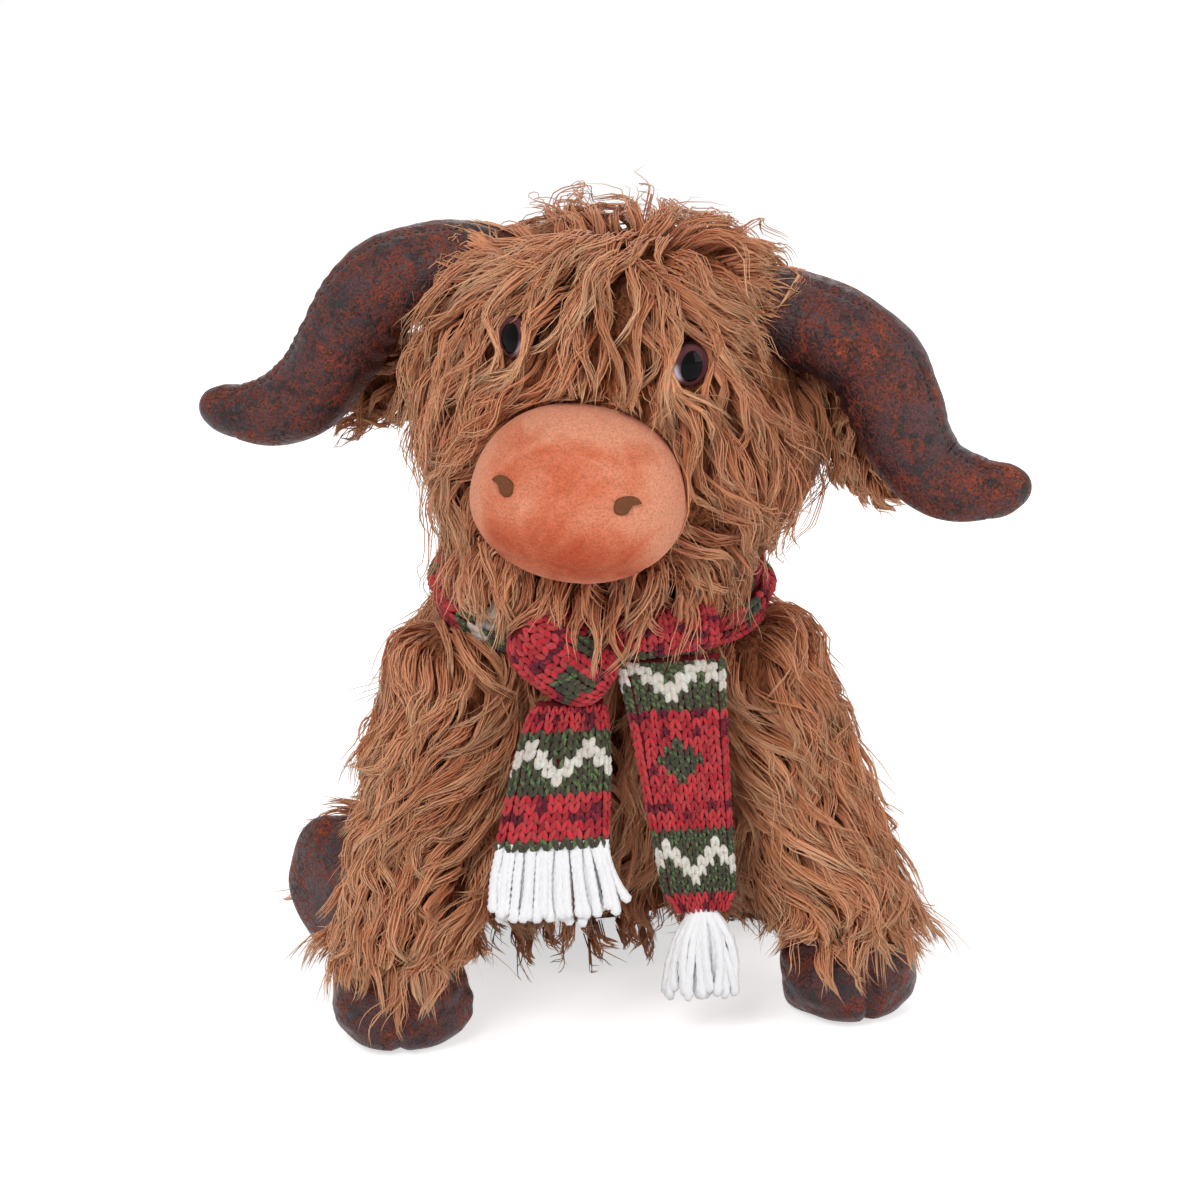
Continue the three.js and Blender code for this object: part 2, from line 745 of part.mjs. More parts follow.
// Cloven hoof about its own sole: the sole at height 0 faces down and the cleft faces -Y
function hoofForm(plan, inset, past) {
  const rings = hoofShares.map(([up, radius], i) => {
    const low = i === 0 ? inset : 0;
    const high = i === hoofShares.length - 1 ? past : 0;
    const size = radius * plan.radius - inset;
    const count = inset > 0 ? facets.inner : facets.cloth;
    return ovalRing(vec(0, 0, up * plan.height + low + high), vec(size, 0, 0), vec(0, size, 0), count);
  });
  const cleftHeight = plan.height * cleftHeightShare;
  const cleftRadii = [plan.cleftWidth / 2 + inset, plan.cleftDepth + inset, cleftHeight + inset];
  const cleft = ball(vec(0, -hoofShares[2][1] * plan.radius, 0), cleftRadii, splits.filling);
  return solidFromRings(rings).subtract(cleft);
}

// Turns a hoof so that its sole faces a direction and its cleft an upright one, then sets its sole down
function placeHoof(solid, sole, front, place) {
  const up = sole.clone().negate();
  const back = front.clone().negate();
  const across = new THREE.Vector3().crossVectors(back, up);
  const basis = new THREE.Matrix4().makeBasis(across, back, up).setPosition(place);
  return solid.transform(basis.toArray());
}

function buildFrontLeg(name, side) {
  const { foot, form, shoulderBall } = frontPlans[name];
  const trunkWall = trunkForm(frontLeg.wall, facets.inner);
  const cavity = shoulderBall(-frontLeg.wall).add(cutBy(form(-frontLeg.wall, facets.inner), trunkWall));
  const outside = shoulderBall(0).add(cutBy(form(0, facets.cloth), trunkClear, hoofRoom));
  addPiece(`front_leg_${name}`, cutBy(outside, cavity), "fur");

  const sole = vec(0, 0, -1);
  const toe = frontLeg.toeOut * degrees;
  const front = vec(side * Math.sin(toe), -Math.cos(toe), 0);
  const place = vec(foot.x, foot.y, 0);
  const shell = cutBy(hoofForm(frontHoof, 0, -seatGap), hoofForm(frontHoof, frontHoof.wall, overrun));
  addPiece(`front_hoof_${name}`, placeHoof(shell, sole, front, place), "leather");

  const inset = frontLeg.wall + seatGap;
  const upper = shoulderBall(-inset).add(cutBy(form(-inset, facets.inner), trunkWall, hoofRoom));
  const lower = hoofForm(frontHoof, frontHoof.wall + seatGap, weld);
  addPiece(`front_leg_stuffing_${name}`, upper.add(placeHoof(lower, sole, front, place)), "stuffing");
}

function buildHindLeg(name) {
  const { heading, foot, form, hipBall, capRoom } = hindPlans[name];
  const outside = hipBall(0).add(cutBy(form(0, facets.cloth, 0), trunkClear));
  const inset = hindLeg.wall + seatGap;
  const trunkWall = trunkForm(hindLeg.wall, facets.inner);
  const cavity = hipBall(-hindLeg.wall).add(cutBy(form(-hindLeg.wall, facets.inner, overrun), trunkWall));
  addPiece(`hind_leg_${name}`, cutBy(outside, cavity, capRoom, underFloor), "fur");

  const up = vec(0, 0, 1);
  const place = foot.clone().addScaledVector(heading, hindHoof.height);
  const shell = cutBy(hoofForm(hindHoof, 0, -seatGap), hoofForm(hindHoof, hindHoof.wall, overrun));
  const hoof = cutBy(placeHoof(shell, heading, up, place), trunkClear, underFloor);
  addPiece(`hind_hoof_${name}`, hoof, "leather");

  const lower = placeHoof(hoofForm(hindHoof, hindHoof.wall + seatGap, weld), heading, up, place);
  const upper = cutBy(hipBall(-inset).add(cutBy(form(-inset, facets.inner, 0), trunkWall)), capRoom);
  const filling = upper.add(cutBy(lower, trunkWall));
  addPiece(`hind_leg_stuffing_${name}`, filling, "stuffing");
}

// Place on the line down the trunk's back, at a level and standing proud of the fur
const alongBack = (level, proud) => vec(0, trunkBackAt(level) + proud, level);

function buildTail() {
  const rope = ropeShares.map(([down, wide]) => ({
    at: alongBack(tailRoot.z - down * tail.ropeLength, tail.rootProud),
    radius: tail.ropeRadius * wide,
  }));
  const root = ball(tailRoot, tail.ballRadius, splits.filling);
  addPiece("tail", cutBy(tube(rope, facets.small), trunkClear).add(root), "fur");
  const top = rope[rope.length - 1].at;
  const tuft = tuftShares.map(([down, wide]) => ({
    at: alongBack(top.z - 2 * seatGap - down * tail.tuftLength, tail.tuftProud),
    radius: tail.tuftRadius * wide,
  }));
  addPiece("tail_tuft", cutBy(tube(tuft, facets.small), trunkClear), "fur");
}

// Flat oval section with lengthwise folds: across its width it waves to the front and back
function clothRing(centre, halfWidth, halfThickness, fold, waves, lie) {
  const count = facets.cloth;
  return Array.from({ length: count }, (_, j) => {
    const angle = (2 * Math.PI * j) / count;
    const across = Math.cos(angle);
    const front = Math.sign(Math.sin(angle)) * Math.sqrt(Math.abs(Math.sin(angle)));
    const wave = fold * Math.cos(waves * Math.PI * across);
    return centre.clone()
      .add(vec(across * halfWidth, 0, 0))
      .addScaledVector(lie, -(front * halfThickness + wave));
  });
}

// A hanging end of the scarf: round along its top edge, where it swings, and thinner at its foot
function hangingEnd(end, top) {
  const foot = top.clone().add(vec(end.footAside, -end.footProud, -end.length));
  const along = foot.clone().sub(top).normalize();
  const lie = new THREE.Vector3().crossVectors(vec(1, 0, 0), along).normalize();
  if (lie.y < 0) lie.negate();
  const rings = hangShares.map(([far, over]) => {
    const centre = top.clone().lerp(foot, far).addScaledVector(along, -over * scarf.halfThickness);
    const thick = scarf.halfThickness * Math.sqrt(1 - over * over) * (1 - footThinShare * far);
    const wide = mix(end.topHalfWidth, end.footHalfWidth, far ** end.taper);
    const fold = scarf.foldDepth * Math.sin(Math.PI * Math.min(1, far / foldReachShare));
    return clothRing(centre, wide, thick, fold, end.folds, lie);
  });
  return { solid: solidFromRings(rings), top, foot, along, lie };
}

// The neck loop's centre line: an oval that is lowest in front and rises to the nape
function loopPoint(angle) {
  const back = -Math.cos(angle);
  return vec(
    scarf.loopHalfWidth * Math.sin(angle),
    scarf.loopBack + scarf.loopHalfDepth * back,
    trunk.height + scarf.loopRise * back,
  );
}

// The knot lies in front of the loop, the crossing beside it, and an end hangs from under each
const knotCentre = loopPoint(0).add(vec(-knot.aside, -knot.proud, -knot.below));
const crossCentre = knotCentre.clone().add(vec(crossing.aside, crossing.behind, crossing.above));
const hangFrom = (centre, halfHeight, end) => centre.clone()
  .add(vec(end.topAside, -end.topProud, -halfHeight - scarf.halfThickness));
const rightTop = hangFrom(knotCentre, knot.halfHeight, rightEnd);
const leftTop = hangFrom(crossCentre, crossing.halfHeight, leftEnd);

function loopForm() {
  const rings = Array.from({ length: facets.loop }, (_, i) => {
    const angle = (2 * Math.PI * i) / facets.loop;
    const centre = loopPoint(angle);
    const outward = vec(Math.sin(angle), -Math.cos(angle), 0);
    const slant = scarf.bandSlant * degrees;
    const along = vec(0, 0, Math.cos(slant)).addScaledVector(outward, -Math.sin(slant));
    const thick = outward.clone().multiplyScalar(Math.cos(slant)).add(vec(0, 0, Math.sin(slant)));
    const tall = scarf.bandHalfHeight * (1 - scarf.gatherShare * Math.max(0, Math.cos(angle)) ** 2);
    return Array.from({ length: facets.small }, (_, j) => {
      const around = (2 * Math.PI * j) / facets.small;
      const high = Math.sin(around);
      const fold = scarf.foldDepth * Math.cos(scarf.folds * Math.PI * high + scarf.foldTwist * angle);
      const front = Math.cos(around);
      const out = front * (front > 0 ? scarf.bandHalfThickness + fold : scarf.bandHalfThickness);
      return centre.clone().addScaledVector(along, high * tall).addScaledVector(thick, out);
    });
  });
  return solidFromRings(rings, true);
}

// The knot: a wrap with slanting folds that the right end hangs from, and a crossing for the left end
function knotForm(grow) {
  const geometry = new THREE.SphereGeometry(1, facets.cloth, facets.inner).rotateX(Math.PI / 2);
  const place = geometry.attributes.position;
  for (let i = 0; i < place.count; i++) {
    const point = new THREE.Vector3().fromBufferAttribute(place, i);
    const ripple = 1 - knot.foldShare * (1 - Math.cos(knot.folds * point.z + knot.foldSlant * point.x));
    place.setXYZ(i, ...point.multiplyScalar(ripple).toArray());
  }
  geometry.scale(knot.halfWidth + grow, knot.halfDepth + grow, knot.halfHeight + grow);
  geometry.translate(...knotCentre.toArray());
  const crossSizes = [crossing.halfWidth + grow, crossing.halfDepth + grow, crossing.halfHeight + grow];
  return solidFromGeometry(geometry).add(ball(crossCentre, crossSizes, splits.ball));
}

// Fringe of the right end: yarns that fan out from its foot, drawn as one toothed sheet
function fringeForm(end, hang) {
  const outline = new THREE.Shape();
  const half = end.footHalfWidth - seatGap;
  const step = (2 * end.fringeSpread) / end.fringeTeeth;
  outline.moveTo(-half, -seatGap);
  for (let tooth = 0; tooth < end.fringeTeeth; tooth++) {
    const from = tooth * step - end.fringeSpread;
    outline.lineTo(from + toothShares.from * step, -toothShares.corner * end.fringeLength);
    outline.lineTo(from + step / 2, -end.fringeLength);
    outline.lineTo(from + toothShares.to * step, -toothShares.notch * end.fringeLength);
  }
  outline.lineTo(half, -seatGap);
  const depth = scarf.fringeThickness;
  const sheet = new THREE.ExtrudeGeometry(outline, { depth, bevelEnabled: false });
  sheet.translate(0, 0, -depth / 2);
  const basis = new THREE.Matrix4().makeBasis(vec(1, 0, 0), hang.along.clone().negate(), hang.lie);
  return solidFromGeometry(sheet).transform(basis.setPosition(hang.foot).toArray());
}

// Tassel of the left end: gathered yarns, narrow at the top, with ridges down their length
function tasselForm(end, hang) {
  return solidFromRings(tasselShares.map(([down, wide]) => {
    const centre = hang.foot.clone().add(vec(0, 0, -seatGap - down * end.tasselLength));
    return Array.from({ length: facets.cloth }, (_, j) => {
      const angle = (2 * Math.PI * j) / facets.cloth;
      const size = end.tasselRadius * wide * (1 + tasselRidgeShare * (j % 2));
      return centre.clone().add(vec(size * Math.cos(angle), tasselDepthShare * size * Math.sin(angle), 0));
    });
  }));
}

// Room for a hanging end to swing about its rounded top edge
function swingRoom(end, top) {
  const half = end.topHalfWidth + swivelGap;
  const place = top.clone().add(vec(half, 0, 0));
  return rod(scarf.halfThickness + swivelGap, 2 * half, place, vec(1, 0, 0));
}

function buildScarf() {
  const shoulders = sides.map(([name]) => frontPlans[name].shoulderBall(swivelGap));
  const neckRoom = ball(neckPivot, neck.radius + seatGap);
  const rooms = [swingRoom(rightEnd, rightTop), swingRoom(leftEnd, leftTop)];
  const loop = cutBy(loopForm(), knotForm(seatGap), neckRoom);
  addPiece("scarf_loop", cutBy(loop, trunkClear, shoulders, rooms), "knit");
  addPiece("scarf_knot", cutBy(knotForm(0), trunkClear, shoulders, rooms), "knit");
  const right = hangingEnd(rightEnd, rightTop);
  addPiece("scarf_end_right", right.solid, "knit");
  addPiece("scarf_fringe_right", fringeForm(rightEnd, right), "yarn");
  const left = hangingEnd(leftEnd, leftTop);
  addPiece("scarf_end_left", left.solid, "knit");
  addPiece("scarf_fringe_left", tasselForm(leftEnd, left), "yarn");
}

buildTrunk();
buildHead();
for (const [name, side] of sides) {
  buildFrontLeg(name, side);
  buildHindLeg(name);
}
buildTail();
buildScarf();

// Places that the joints turn about
export const pivots = {
  neck: neckPivot,
  front_leg_left: frontPlans.left.shoulder,
  front_leg_right: frontPlans.right.shoulder,
  hind_leg_left: hindPlans.left.hip,
  hind_leg_right: hindPlans.right.hip,
  ear_left: headGroup.localToWorld(earPlan(1).root),
  ear_right: headGroup.localToWorld(earPlan(-1).root),
  tail: tailRoot,
  scarf_end_left: leftTop,
  scarf_end_right: rightTop,
};

// The toy stands on the floor with its origin under the middle of its box
const box = new THREE.Box3().setFromObject(toy, true);
const middle = box.getCenter(vec(0, 0, 0));
toy.position.set(-middle.x, -middle.y, -box.min.z);
for (const place of Object.values(pivots)) place.add(toy.position);

// Directions of the axes that aren't along X, Y or Z: the nod follows the head's turn, and each ear
// flaps forwards and back about the line across its own root
export const axes = {
  head_nod: vec(1, 0, 0).applyAxisAngle(vec(0, 0, 1), head.turn * degrees),
  ear_left: earPlan(1).axis.applyQuaternion(headGroup.quaternion),
  ear_right: earPlan(-1).axis.applyQuaternion(headGroup.quaternion),
};

export default toy;
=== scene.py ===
"""A sitting plush cow with a long wavy coat, leather horns and hooves, a velour muzzle and a knitted scarf.

Sizes are millimetres in the toy's own measures, as in the solids: +Z up, the toy faces -Y, its left is +X.
piece() brings them into the shared frame, which is in metres."""
import json
import math

import bpy
import numpy as np
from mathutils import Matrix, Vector


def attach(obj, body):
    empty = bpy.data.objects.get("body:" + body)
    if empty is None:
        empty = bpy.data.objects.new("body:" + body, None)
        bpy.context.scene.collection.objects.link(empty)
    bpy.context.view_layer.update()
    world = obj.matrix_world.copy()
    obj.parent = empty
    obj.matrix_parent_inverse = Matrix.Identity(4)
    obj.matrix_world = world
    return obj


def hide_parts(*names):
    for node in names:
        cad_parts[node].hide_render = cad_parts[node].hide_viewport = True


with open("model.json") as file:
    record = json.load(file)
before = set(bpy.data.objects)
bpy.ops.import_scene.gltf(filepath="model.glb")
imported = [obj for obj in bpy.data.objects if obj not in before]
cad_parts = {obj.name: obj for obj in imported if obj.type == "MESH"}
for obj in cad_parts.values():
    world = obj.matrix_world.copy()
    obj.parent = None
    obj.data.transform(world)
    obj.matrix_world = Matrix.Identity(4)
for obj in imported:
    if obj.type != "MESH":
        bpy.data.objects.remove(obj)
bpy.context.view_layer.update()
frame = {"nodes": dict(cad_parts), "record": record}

MM = 0.001
SEED = 20
NECK = np.array([0.0, 40.0, 172.0])
joints = {joint["name"]: joint for joint in frame["record"]["behaviour"]["joints"]}
SHIFT = np.array(joints["head_turn"]["pos_m"]) - NECK * MM

# Trunk: rows of height, lean, half width and half depth, as shares of the sizes above them
TRUNK_HEIGHT = 158.0
TRUNK_HALF_WIDTH = 84.0
TRUNK_HALF_DEPTH = 80.0
SEAT_BACK = 118.0
TRUNK_PILE = 9.0
LEAN = 68.0
TRUNK_ROWS = np.array([
    [0, 0, 0.56, 0.57], [0.05, 0.09, 0.77, 0.77], [0.13, 0.21, 0.9, 0.9], [0.29, 0.34, 0.975, 1],
    [0.51, 0.49, 1, 0.95], [0.73, 0.68, 0.87, 0.825], [0.89, 0.85, 0.78, 0.71],
    [0.965, 0.94, 0.64, 0.59], [1, 1, 0.5, 0.47],
])

# Head, about its own centre: rows of height, half width and half depth as shares
HEAD_CENTRE = np.array([2.0, 20.0, 235.0])
HEAD_TURN = math.radians(-20)
HEAD_TILT = math.radians(7)
HEAD_HALF = np.array([76.0, 64.0, 66.0])
HEAD_BACK = 6.0
HEAD_ROWS = np.array([
    [-1, 0.3, 0.36], [-0.95, 0.52, 0.6], [-0.74, 0.8, 0.86], [-0.42, 0.98, 1], [-0.12, 1, 1],
    [0.18, 0.9, 0.98], [0.48, 0.75, 0.88], [0.76, 0.55, 0.68], [0.94, 0.32, 0.4], [1, 0.14, 0.18],
])
MUZZLE_CENTRE = np.array([0.0, HEAD_BACK - HEAD_HALF[1], -29.0])
MUZZLE_HALF = np.array([38.0, 36.0, 32.0])

# Horn: rows of reach, drop, radius and how far the sag counts, as shares
HORN_RADIUS = 17.5
HORN_REACH = 110.0
HORN_DROP = 43.0
HORN_ROOT = (42.0, 5.0, 29.0)
HORN_SWEEP = 9.0
HORN_SAG = {"left": 0.0, "right": 17.0}
HORN_ROWS = np.array([
    [0, 0, 0.95, 0], [0.16, -0.05, 0.98, 0], [0.31, 0.02, 1, 0], [0.44, 0.2, 1, 0.05],
    [0.52, 0.49, 0.97, 0.2], [0.59, 0.8, 0.92, 0.42], [0.67, 1.02, 0.85, 0.6], [0.77, 1.1, 0.74, 0.76],
    [0.87, 1.09, 0.6, 0.9], [0.95, 1.02, 0.43, 0.98], [1, 0.96, 0.2, 1],
])
SIDES = {"left": 1, "right": -1}
FRONT_FOOT = (83.0, -10.0)
HIND_HIP = (68.0, 103.0, 26.5)
HIND_ASIDE = math.radians(32)
HIND_SOLE = 43

# Eye: height in the head's measures, degrees round from the middle, and how deep it is let in
EYE_HEIGHT = 19.0
EYE_ASIDE = 31
EYE_SUNK = 3


# Shapes
def unit(vectors):
    """Each vector divided by its own length."""
    return vectors / np.maximum(np.linalg.norm(vectors, axis=-1, keepdims=True), 1e-9)


def smooth(x):
    """Rises from 0 to 1 along 3x^2 - 2x^3."""
    x = np.clip(x, 0, 1)
    return x * x * (3 - 2 * x)


def bell(x, width):
    """Falls from 1 at 0 to both sides along exp(-(x / width)^2)."""
    return np.exp(-(x / width) ** 2)


def circle(count):
    """Angles of even steps once round a circle."""
    return np.linspace(0, 2 * math.pi, count, endpoint=False)


def wrapped(angle):
    """Angles brought between half a turn back and half a turn on."""
    return (angle + math.pi) % (2 * math.pi) - math.pi


def run_along(line):
    """How far along a line each of its points lies."""
    return np.concatenate([[0], np.cumsum(np.linalg.norm(np.diff(line, axis=0), axis=1))])


def ball_ways(down, around):
    """Unit vectors at angles down from the top and round it."""
    return np.stack([np.sin(down) * np.cos(around), np.sin(down) * np.sin(around),
                     np.cos(down) + 0 * around], -1)


def in_oval(points, centre, half):
    """Whether points lie inside an oval."""
    return np.linalg.norm((points - centre) / half, axis=-1) < 1


def gap_to_line(points, line):
    """How far each point lies from the nearest point of a line."""
    return np.linalg.norm(points[:, None] - line[None], axis=-1).min(1)


def drawn_out(rows, count):
    """The rows of a table drawn out to more rows, on a Catmull-Rom curve through each of them."""
    rows = np.asarray(rows, float)
    t = np.linspace(0, len(rows) - 1, count)
    i = np.clip(t.astype(int), 0, len(rows) - 2)
    f = (t - i)[:, None]
    before, here = rows[np.maximum(i - 1, 0)], rows[i]
    after, beyond = rows[i + 1], rows[np.minimum(i + 2, len(rows) - 1)]
    square = 2 * before - 5 * here + 4 * after - beyond
    cube = 3 * here - before - 3 * after + beyond
    return 0.5 * (2 * here + (after - before) * f + square * f**2 + cube * f**3)


def turned_frame(turn, tilt):
    """Rotation of the head: a tilt about Y, then a turn about Z."""
    ct, st, ci, si = math.cos(turn), math.sin(turn), math.cos(tilt), math.sin(tilt)
    about_z = np.array([[ct, -st, 0], [st, ct, 0], [0, 0, 1]])
    about_y = np.array([[ci, 0, si], [0, 1, 0], [-si, 0, ci]])
    return about_z @ about_y


HEAD_AXES = turned_frame(HEAD_TURN, HEAD_TILT)


def out_of_head(points):
    """Places in the head's own measures brought into the toy's."""
    return points @ HEAD_AXES.T + HEAD_CENTRE


def oval_rings(rows, count):
    """Level rings: each row is height, centre x, centre y, half width, half depth; round each ring a point
    stands at (width cos a, depth sin a)."""
    angle = circle(count)
    x = rows[:, 1:2] + rows[:, 3:4] * np.cos(angle)
    y = rows[:, 2:3] + rows[:, 4:5] * np.sin(angle)
    z = np.repeat(rows[:, 0:1], count, axis=1)
    return np.stack([x, y, z], axis=-1)


def frames_along(line, side):
    """Two unit vectors across a line at each of its points: one close to side, and one square to both."""
    along = unit(np.gradient(line, axis=0))
    deep = unit(side - along * (side * along).sum(-1, keepdims=True))
    return unit(np.cross(deep, along)), deep


def tube_rings(line, wide, deep, side, count):
    """Rings square to a line: round each, a point stands at (wide cos a, deep sin a)."""
    across, up = frames_along(line, np.asarray(side, float))
    angle = circle(count)
    cos, sin = np.cos(angle)[None, :, None], np.sin(angle)[None, :, None]
    return (line[:, None] + across[:, None] * cos * wide[:, None, None]
            + up[:, None] * sin * deep[:, None, None])


def ring_mesh(rings, loop=False):
    """Points, quads and triangles of a skin over rings, closed at both ends, or joined end to start."""
    total, count = rings.shape[:2]
    points = rings.reshape(-1, 3)
    i, j = np.meshgrid(np.arange(total if loop else total - 1), np.arange(count), indexing="ij")
    k, following = (j + 1) % count, (i + 1) % total
    quads = np.stack([i * count + j, i * count + k, following * count + k, following * count + j], -1)
    triangles = np.zeros((0, 3), int)
    if not loop:
        hubs = np.stack([rings[0].mean(0), rings[-1].mean(0)])
        points = np.concatenate([points, hubs])
        j = np.arange(count)
        k = (j + 1) % count
        start, end = np.full(count, total * count), np.full(count, total * count + 1)
        top = (total - 1) * count
        triangles = np.concatenate([np.stack([start, k, j], -1), np.stack([end, top + j, top + k], -1)])
    return points, quads.reshape(-1, 4), triangles


def facing_out(points, quads, triangles):
    """The faces turned over if the closed form that they make has a volume below nothing."""
    faces = np.concatenate([quads[:, [0, 1, 2]], quads[:, [0, 2, 3]], triangles])
    a, b, c = (points[faces[:, n]] for n in range(3))
    if (a * np.cross(b, c)).sum() < 0:
        return quads[:, ::-1], triangles[:, ::-1]
    return quads, triangles


def joined(skins):
    """Points, quads and triangles of several closed skins over rings, made one mesh."""
    points, quads, triangles = [], [], []
    start = 0
    for rings in skins:
        own_points, own_quads, own_triangles = ring_mesh(rings)
        own_quads, own_triangles = facing_out(own_points - own_points.mean(0), own_quads, own_triangles)
        points.append(own_points)
        quads.append(own_quads + start)
        triangles.append(own_triangles + start)
        start += len(own_points)
    return np.concatenate(points), np.concatenate(quads), np.concatenate(triangles)


def tube_faces(total, count):
    """Quads of an open tube of rings, the share of the round at each corner, and the ring that it is in."""
    i, j = (x.ravel() for x in np.meshgrid(np.arange(total - 1), np.arange(count), indexing="ij"))
    k = (j + 1) % count
    quads = np.stack([i * count + j, i * count + k, (i + 1) * count + k, (i + 1) * count + j], -1)
    return quads, np.stack([j, j + 1, j + 1, j], -1) / count, np.stack([i, i, i + 1, i + 1], -1)


def cap_uv(count, level, end, turned=False):
    """UV of the triangles between a ring at a level and a pole, with the ring's corners the other way round
    where turned."""
    j = np.arange(count)
    pair = [j + 1, j] if turned else [j, j + 1]
    return np.stack([np.stack([*pair, j + 0.5], -1) / count,
                     np.stack([level + 0.0 * j, level + 0.0 * j, end + 0.0 * j], -1)], -1)


def piece(name, points, quads, triangles, finish, body, colours=(), uv=None, replaces=()):
    """Mesh object from arrays, set down in the shared frame, with its colours for each point and its UV for
    each corner; it rides on its body and takes the place of the solids that it stands for."""
    mesh = bpy.data.meshes.new(name)
    mesh.vertices.add(len(points))
    mesh.vertices.foreach_set("co", (points * MM + SHIFT).astype(np.float32).ravel())
    corners = np.concatenate([quads.ravel(), triangles.ravel()]).astype(np.int32)
    starts = np.concatenate([np.arange(len(quads)) * 4, quads.size + np.arange(len(triangles)) * 3])
    mesh.loops.add(len(corners))
    mesh.loops.foreach_set("vertex_index", corners)
    mesh.polygons.add(len(starts))
    mesh.polygons.foreach_set("loop_start", starts.astype(np.int32))
    mesh.polygons.foreach_set("use_smooth", np.ones(len(starts), bool))
    for label, values in colours:
        layer = mesh.color_attributes.new(label, "FLOAT_COLOR", "POINT")
        layer.data.foreach_set("color", values.astype(np.float32).ravel())
    if uv is not None:
        layer = mesh.uv_layers.new(name="UVMap")
        layer.data.foreach_set("uv", uv.astype(np.float32).ravel())
    mesh.update(calc_edges=True)
    mesh.validate()
    obj = bpy.data.objects.new(name, mesh)
    scene.collection.objects.link(obj)
    mesh.materials.append(finish)
    if body:
        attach(obj, body)
    if replaces:
        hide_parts(*replaces)
    return obj


def skin_piece(name, rings, finish, body, loop=False, colours=(), replaces=()):
    """A closed skin over rings as a piece of its own."""
    points, quads, triangles = ring_mesh(rings, loop)
    quads, triangles = facing_out(points, quads, triangles)
    return piece(name, points, quads, triangles, finish, body, colours, replaces=replaces)


class Surface:
    """A skin over rings that can be read at any place: u runs once round a ring, v from the first ring to the
    last, both from 0 to 1. Each place has a point, an outward normal, and vectors along u and v."""

    def __init__(self, rings, loop=False):
        self.loop = loop
        self.rings = rings
        if loop:
            down = (np.roll(rings, -1, 0) - np.roll(rings, 1, 0)) / 2 * len(rings)
        else:
            down = np.gradient(rings, axis=0) * (len(rings) - 1)
        around = (np.roll(rings, -1, 1) - np.roll(rings, 1, 1)) / 2 * rings.shape[1]
        normal = unit(np.cross(around, down))
        middle = rings.mean((0, 1)) if not loop else rings.mean(1, keepdims=True)
        if (normal * (rings - middle)).sum() < 0:
            normal = -normal
        self.down, self.around, self.normal = down, around, normal

    def read(self, table, u, v):
        """Value of a table of the rings at (u, v), mixed from its four nearest entries."""
        total, count = self.rings.shape[:2]
        a = np.mod(u, 1) * count
        b = np.mod(v, 1) * total if self.loop else np.clip(v, 0, 1) * (total - 1)
        a0, b0 = np.floor(a).astype(int) % count, np.floor(b).astype(int)
        b0 = b0 % total if self.loop else np.minimum(b0, total - 2)
        a1, b1 = (a0 + 1) % count, (b0 + 1) % total
        fa, fb = (a - np.floor(a))[..., None], (b - b0)[..., None]
        near = table[b0, a0] * (1 - fa) + table[b0, a1] * fa
        far = table[b1, a0] * (1 - fa) + table[b1, a1] * fa
        return near * (1 - fb) + far * fb

    def spot(self, u, v):
        """Point, outward normal, and the mm that u and v cover per unit there, as vectors."""
        return (self.read(self.rings, u, v), unit(self.read(self.normal, u, v)),
                self.read(self.around, u, v), self.read(self.down, u, v))

    def at(self, place):
        """Point and outward normal at places."""
        return self.spot(place[:, 0], place[:, 1])[:2]

    def walk(self, place, way, step):
        """Places that lie a step on along a direction."""
        _, _, around, down = self.spot(place[:, 0], place[:, 1])
        u = (way * around).sum(-1) / np.maximum((around**2).sum(-1), 1.0)
        v = (way * down).sum(-1) / np.maximum((down**2).sum(-1), 1.0)
        return place + np.stack([u, v], 1) * step[:, None]

    def scatter(self, count, rng, top=0.0, bottom=1.0):
        """Evenly spread places: equal steps along the running total of the cells' areas, with jitter."""
        total, round_count = self.rings.shape[:2]
        area = np.linalg.norm(np.cross(self.around, self.down), axis=-1)
        level = np.linspace(0, 1, total)
        area[(level < top) | (level > bottom)] = 0
        area = (area[:-1] + area[1:]) / 2
        running = np.cumsum(area.ravel())
        pick = np.searchsorted(running, (np.arange(count) + rng.random(count)) / count * running[-1])
        pick = np.minimum(pick, area.size - 1)
        row, column = np.divmod(pick, round_count)
        u = (column + rng.random(count)) / round_count
        return np.stack([u, (row + rng.random(count)) / (total - 1)], 1)


